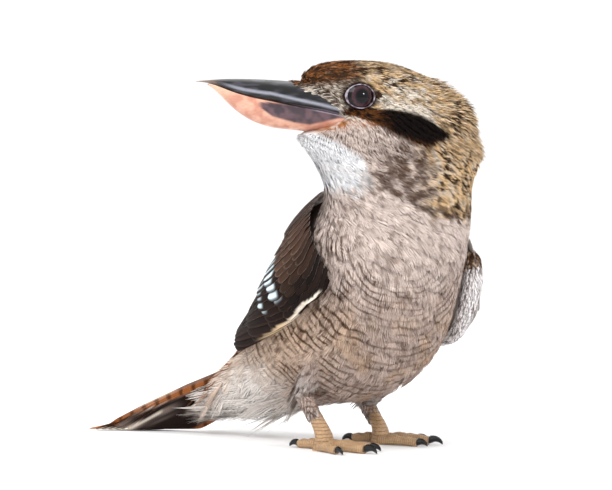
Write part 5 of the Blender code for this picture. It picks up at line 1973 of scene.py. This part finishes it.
@dataclass
class Studio:
    """Pale floor that sweeps up behind, soft lights and the photographer's camera."""

    builder: Builder
    distance: float = 1.3
    height: float = 0.16
    lens: float = 127.5
    azimuth: float = -42.0
    # How far the camera looks down and aside, degrees.
    tilt: float = 1.684
    pan: float = 1.216

    def floor(self) -> None:
        """A sweep: level to 2 m behind the bird, then a quarter turn up to a wall."""
        t = np.linspace(0, 1, 40)
        flat = np.stack([np.linspace(-3.0, 2.0, 20), np.zeros(20)], 1)
        bend = np.stack([2.0 + 1.0 * np.sin(t * math.pi / 2), 1.0 - np.cos(t * math.pi / 2)], 1)
        wall = np.stack([np.full(8, 3.0), np.linspace(1.2, 3.0, 8)], 1)
        profile = np.vstack([flat, bend, wall])
        a = math.radians(self.azimuth)
        away = np.array([-math.sin(a), math.cos(a), 0.0])
        right = np.array([math.cos(a), math.sin(a), 0.0])
        x = np.linspace(-3.5, 3.5, 15)
        points = profile[:, None, :1] * away + profile[:, None, 1:] * UP + x[None, :, None] * right
        mesh = bpy.data.meshes.new("floor")
        mesh.from_pydata(points.reshape(-1, 3).tolist(), [], grid_quads(len(profile), 15).tolist())
        mesh.shade_smooth()
        n = Nodes("studio_floor")
        n.paint(n.blend(n.noise(3.0), (0.93, 0.93, 0.93), (0.9, 0.9, 0.905)))
        n.set(Roughness=0.9)
        mesh.materials.append(n.material)
        floor = put("floor", mesh)

    def lamp(
        self, name: str, azimuth: float, elevation: float, far: float, size: float, power: float
    ) -> None:
        """A square area lamp that faces the bird.

        Args:
            name: the lamp's name.
            azimuth: which side it shines from, degrees.
            elevation: how high it stands, degrees.
            far: its distance, metres.
            size: its width, metres.
            power: its power, watts.
        """
        light = bpy.data.lights.new(name, "AREA")
        light.size, light.energy = size, power
        lamp = put(name, light)
        a, e = math.radians(azimuth), math.radians(elevation)
        lamp.location = far * np.array([math.sin(a) * math.cos(e), -math.cos(a) * math.cos(e), math.sin(e)])
        lamp.rotation_euler = (math.pi / 2 - e, 0.0, a)

    def camera(self) -> None:
        """The camera at the photograph's place, level with the bird's breast."""
        a = math.radians(self.azimuth)
        feet = np.array([self.builder.shift[0], self.builder.shift[1], 0.0])
        out = np.array([math.sin(a), -math.cos(a), 0.0])
        camera = put("camera", bpy.data.cameras.new("camera"))
        camera.data.lens, camera.data.sensor_width = self.lens, 36.0
        camera.location = feet + out * self.distance + UP * self.height
        camera.rotation_euler = (math.radians(90 - self.tilt), 0.0, a + math.radians(self.pan))
        bpy.context.scene.camera = camera

    def make(self) -> None:
        """Floor, lamps, sky and camera."""
        self.floor()
        self.lamp("key", self.azimuth - 35, 50, 1.6, 0.9, 15)
        self.lamp("fill", self.azimuth + 54, 22, 1.8, 0.14, 8)
        self.lamp("top", self.azimuth + 180, 65, 1.8, 1.6, 10)
        world = bpy.data.worlds.new("studio")
        bpy.context.scene.world = world
        world.use_nodes = True
        world.node_tree.nodes["Background"].inputs[0].default_value = (1, 1, 1, 1)
        world.node_tree.nodes["Background"].inputs[1].default_value = 1.08
        bpy.context.scene.view_settings.view_transform = "Standard"
        self.camera()


def dress_solids(nodes: dict[str, Piece]) -> None:
    """Gives the solids that show their finish: shanks, toes, claws and eyes."""
    claw = HornFinish("claw_horn", (15, 14, 16), 0.25, 0.15).make()
    for name, node in nodes.items():
        kind, _, rest = name.partition("_")
        if kind == "tarsus":
            skin = (208, 170, 122), (196, 172, 164), (112, 84, 68)
            finish = ScalyFinish(f"{name}_scales", *skin, pitch=0.0021).make()
        elif kind == "toe":
            ends = [np.mean(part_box(part), axis=0) for part in (name, f"claw_{rest}")]
            way = tuple(unit((ends[1] - ends[0]) * np.array([1.0, 1.0, 0.0])))
            skin = (212, 176, 132), (208, 172, 126), (108, 78, 56)
            finish = ScalyFinish(f"{name}_scutes", *skin, way).make()
        elif kind == "claw":
            finish = claw
        elif kind == "eye":
            low, high = (np.array(c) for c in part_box(name))
            way = unit((HEAD_LEFT if rest == "left" else -HEAD_LEFT) - 0.17 * HEAD_FRONT)
            middle = (low + high) / 2
            finish = EyeFinish(f"{name}_wet", tuple(middle), tuple(middle + way * EYE_RADIUS)).make()
        else:
            continue
        node.data.materials.clear()
        node.data.materials.append(finish)


def main() -> None:
    """Builds the bird piece by piece."""
    logging.basicConfig(level=logging.INFO, format="%(message)s")
    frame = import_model()
    low, high = (np.array(c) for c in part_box("eye_left"))
    shift = (low + high) / 2 - head_point(0.0, EYE_OFFSET, EYE_HEIGHT)
    shift[2] = 0.0
    builder = Builder(shift)
    marks = Markings()
    plumage = PlumageFinish("soft_plumage").make()
    flight = PlumageFinish("flight_plumage", rough=0.55, fleck=0.12, wave=0.3).make()
    flesh = Flesh(builder, marks)
    flesh.make(plumage)
    wings = [
        Wing(builder, -1, RIGHT_WING, RIGHT_EDGE, 0.0125),
        Wing(builder, 1, LEFT_WING, LEFT_EDGE, 0.006),
    ]
    Coat(builder, marks, flesh, [wing.front() for wing in wings]).make(plumage)
    Bill(builder).make(HornFinish("bill_horn").make())
    Lids(builder).make(HornFinish("lid_skin", rough=0.45, coat=0.0).make())
    for wing in wings:
        wing.make(flight)
    Tail(builder).make(flight)
    dress_solids(frame["nodes"])
    Studio(builder).make()


if __name__ == "__main__":
    main()
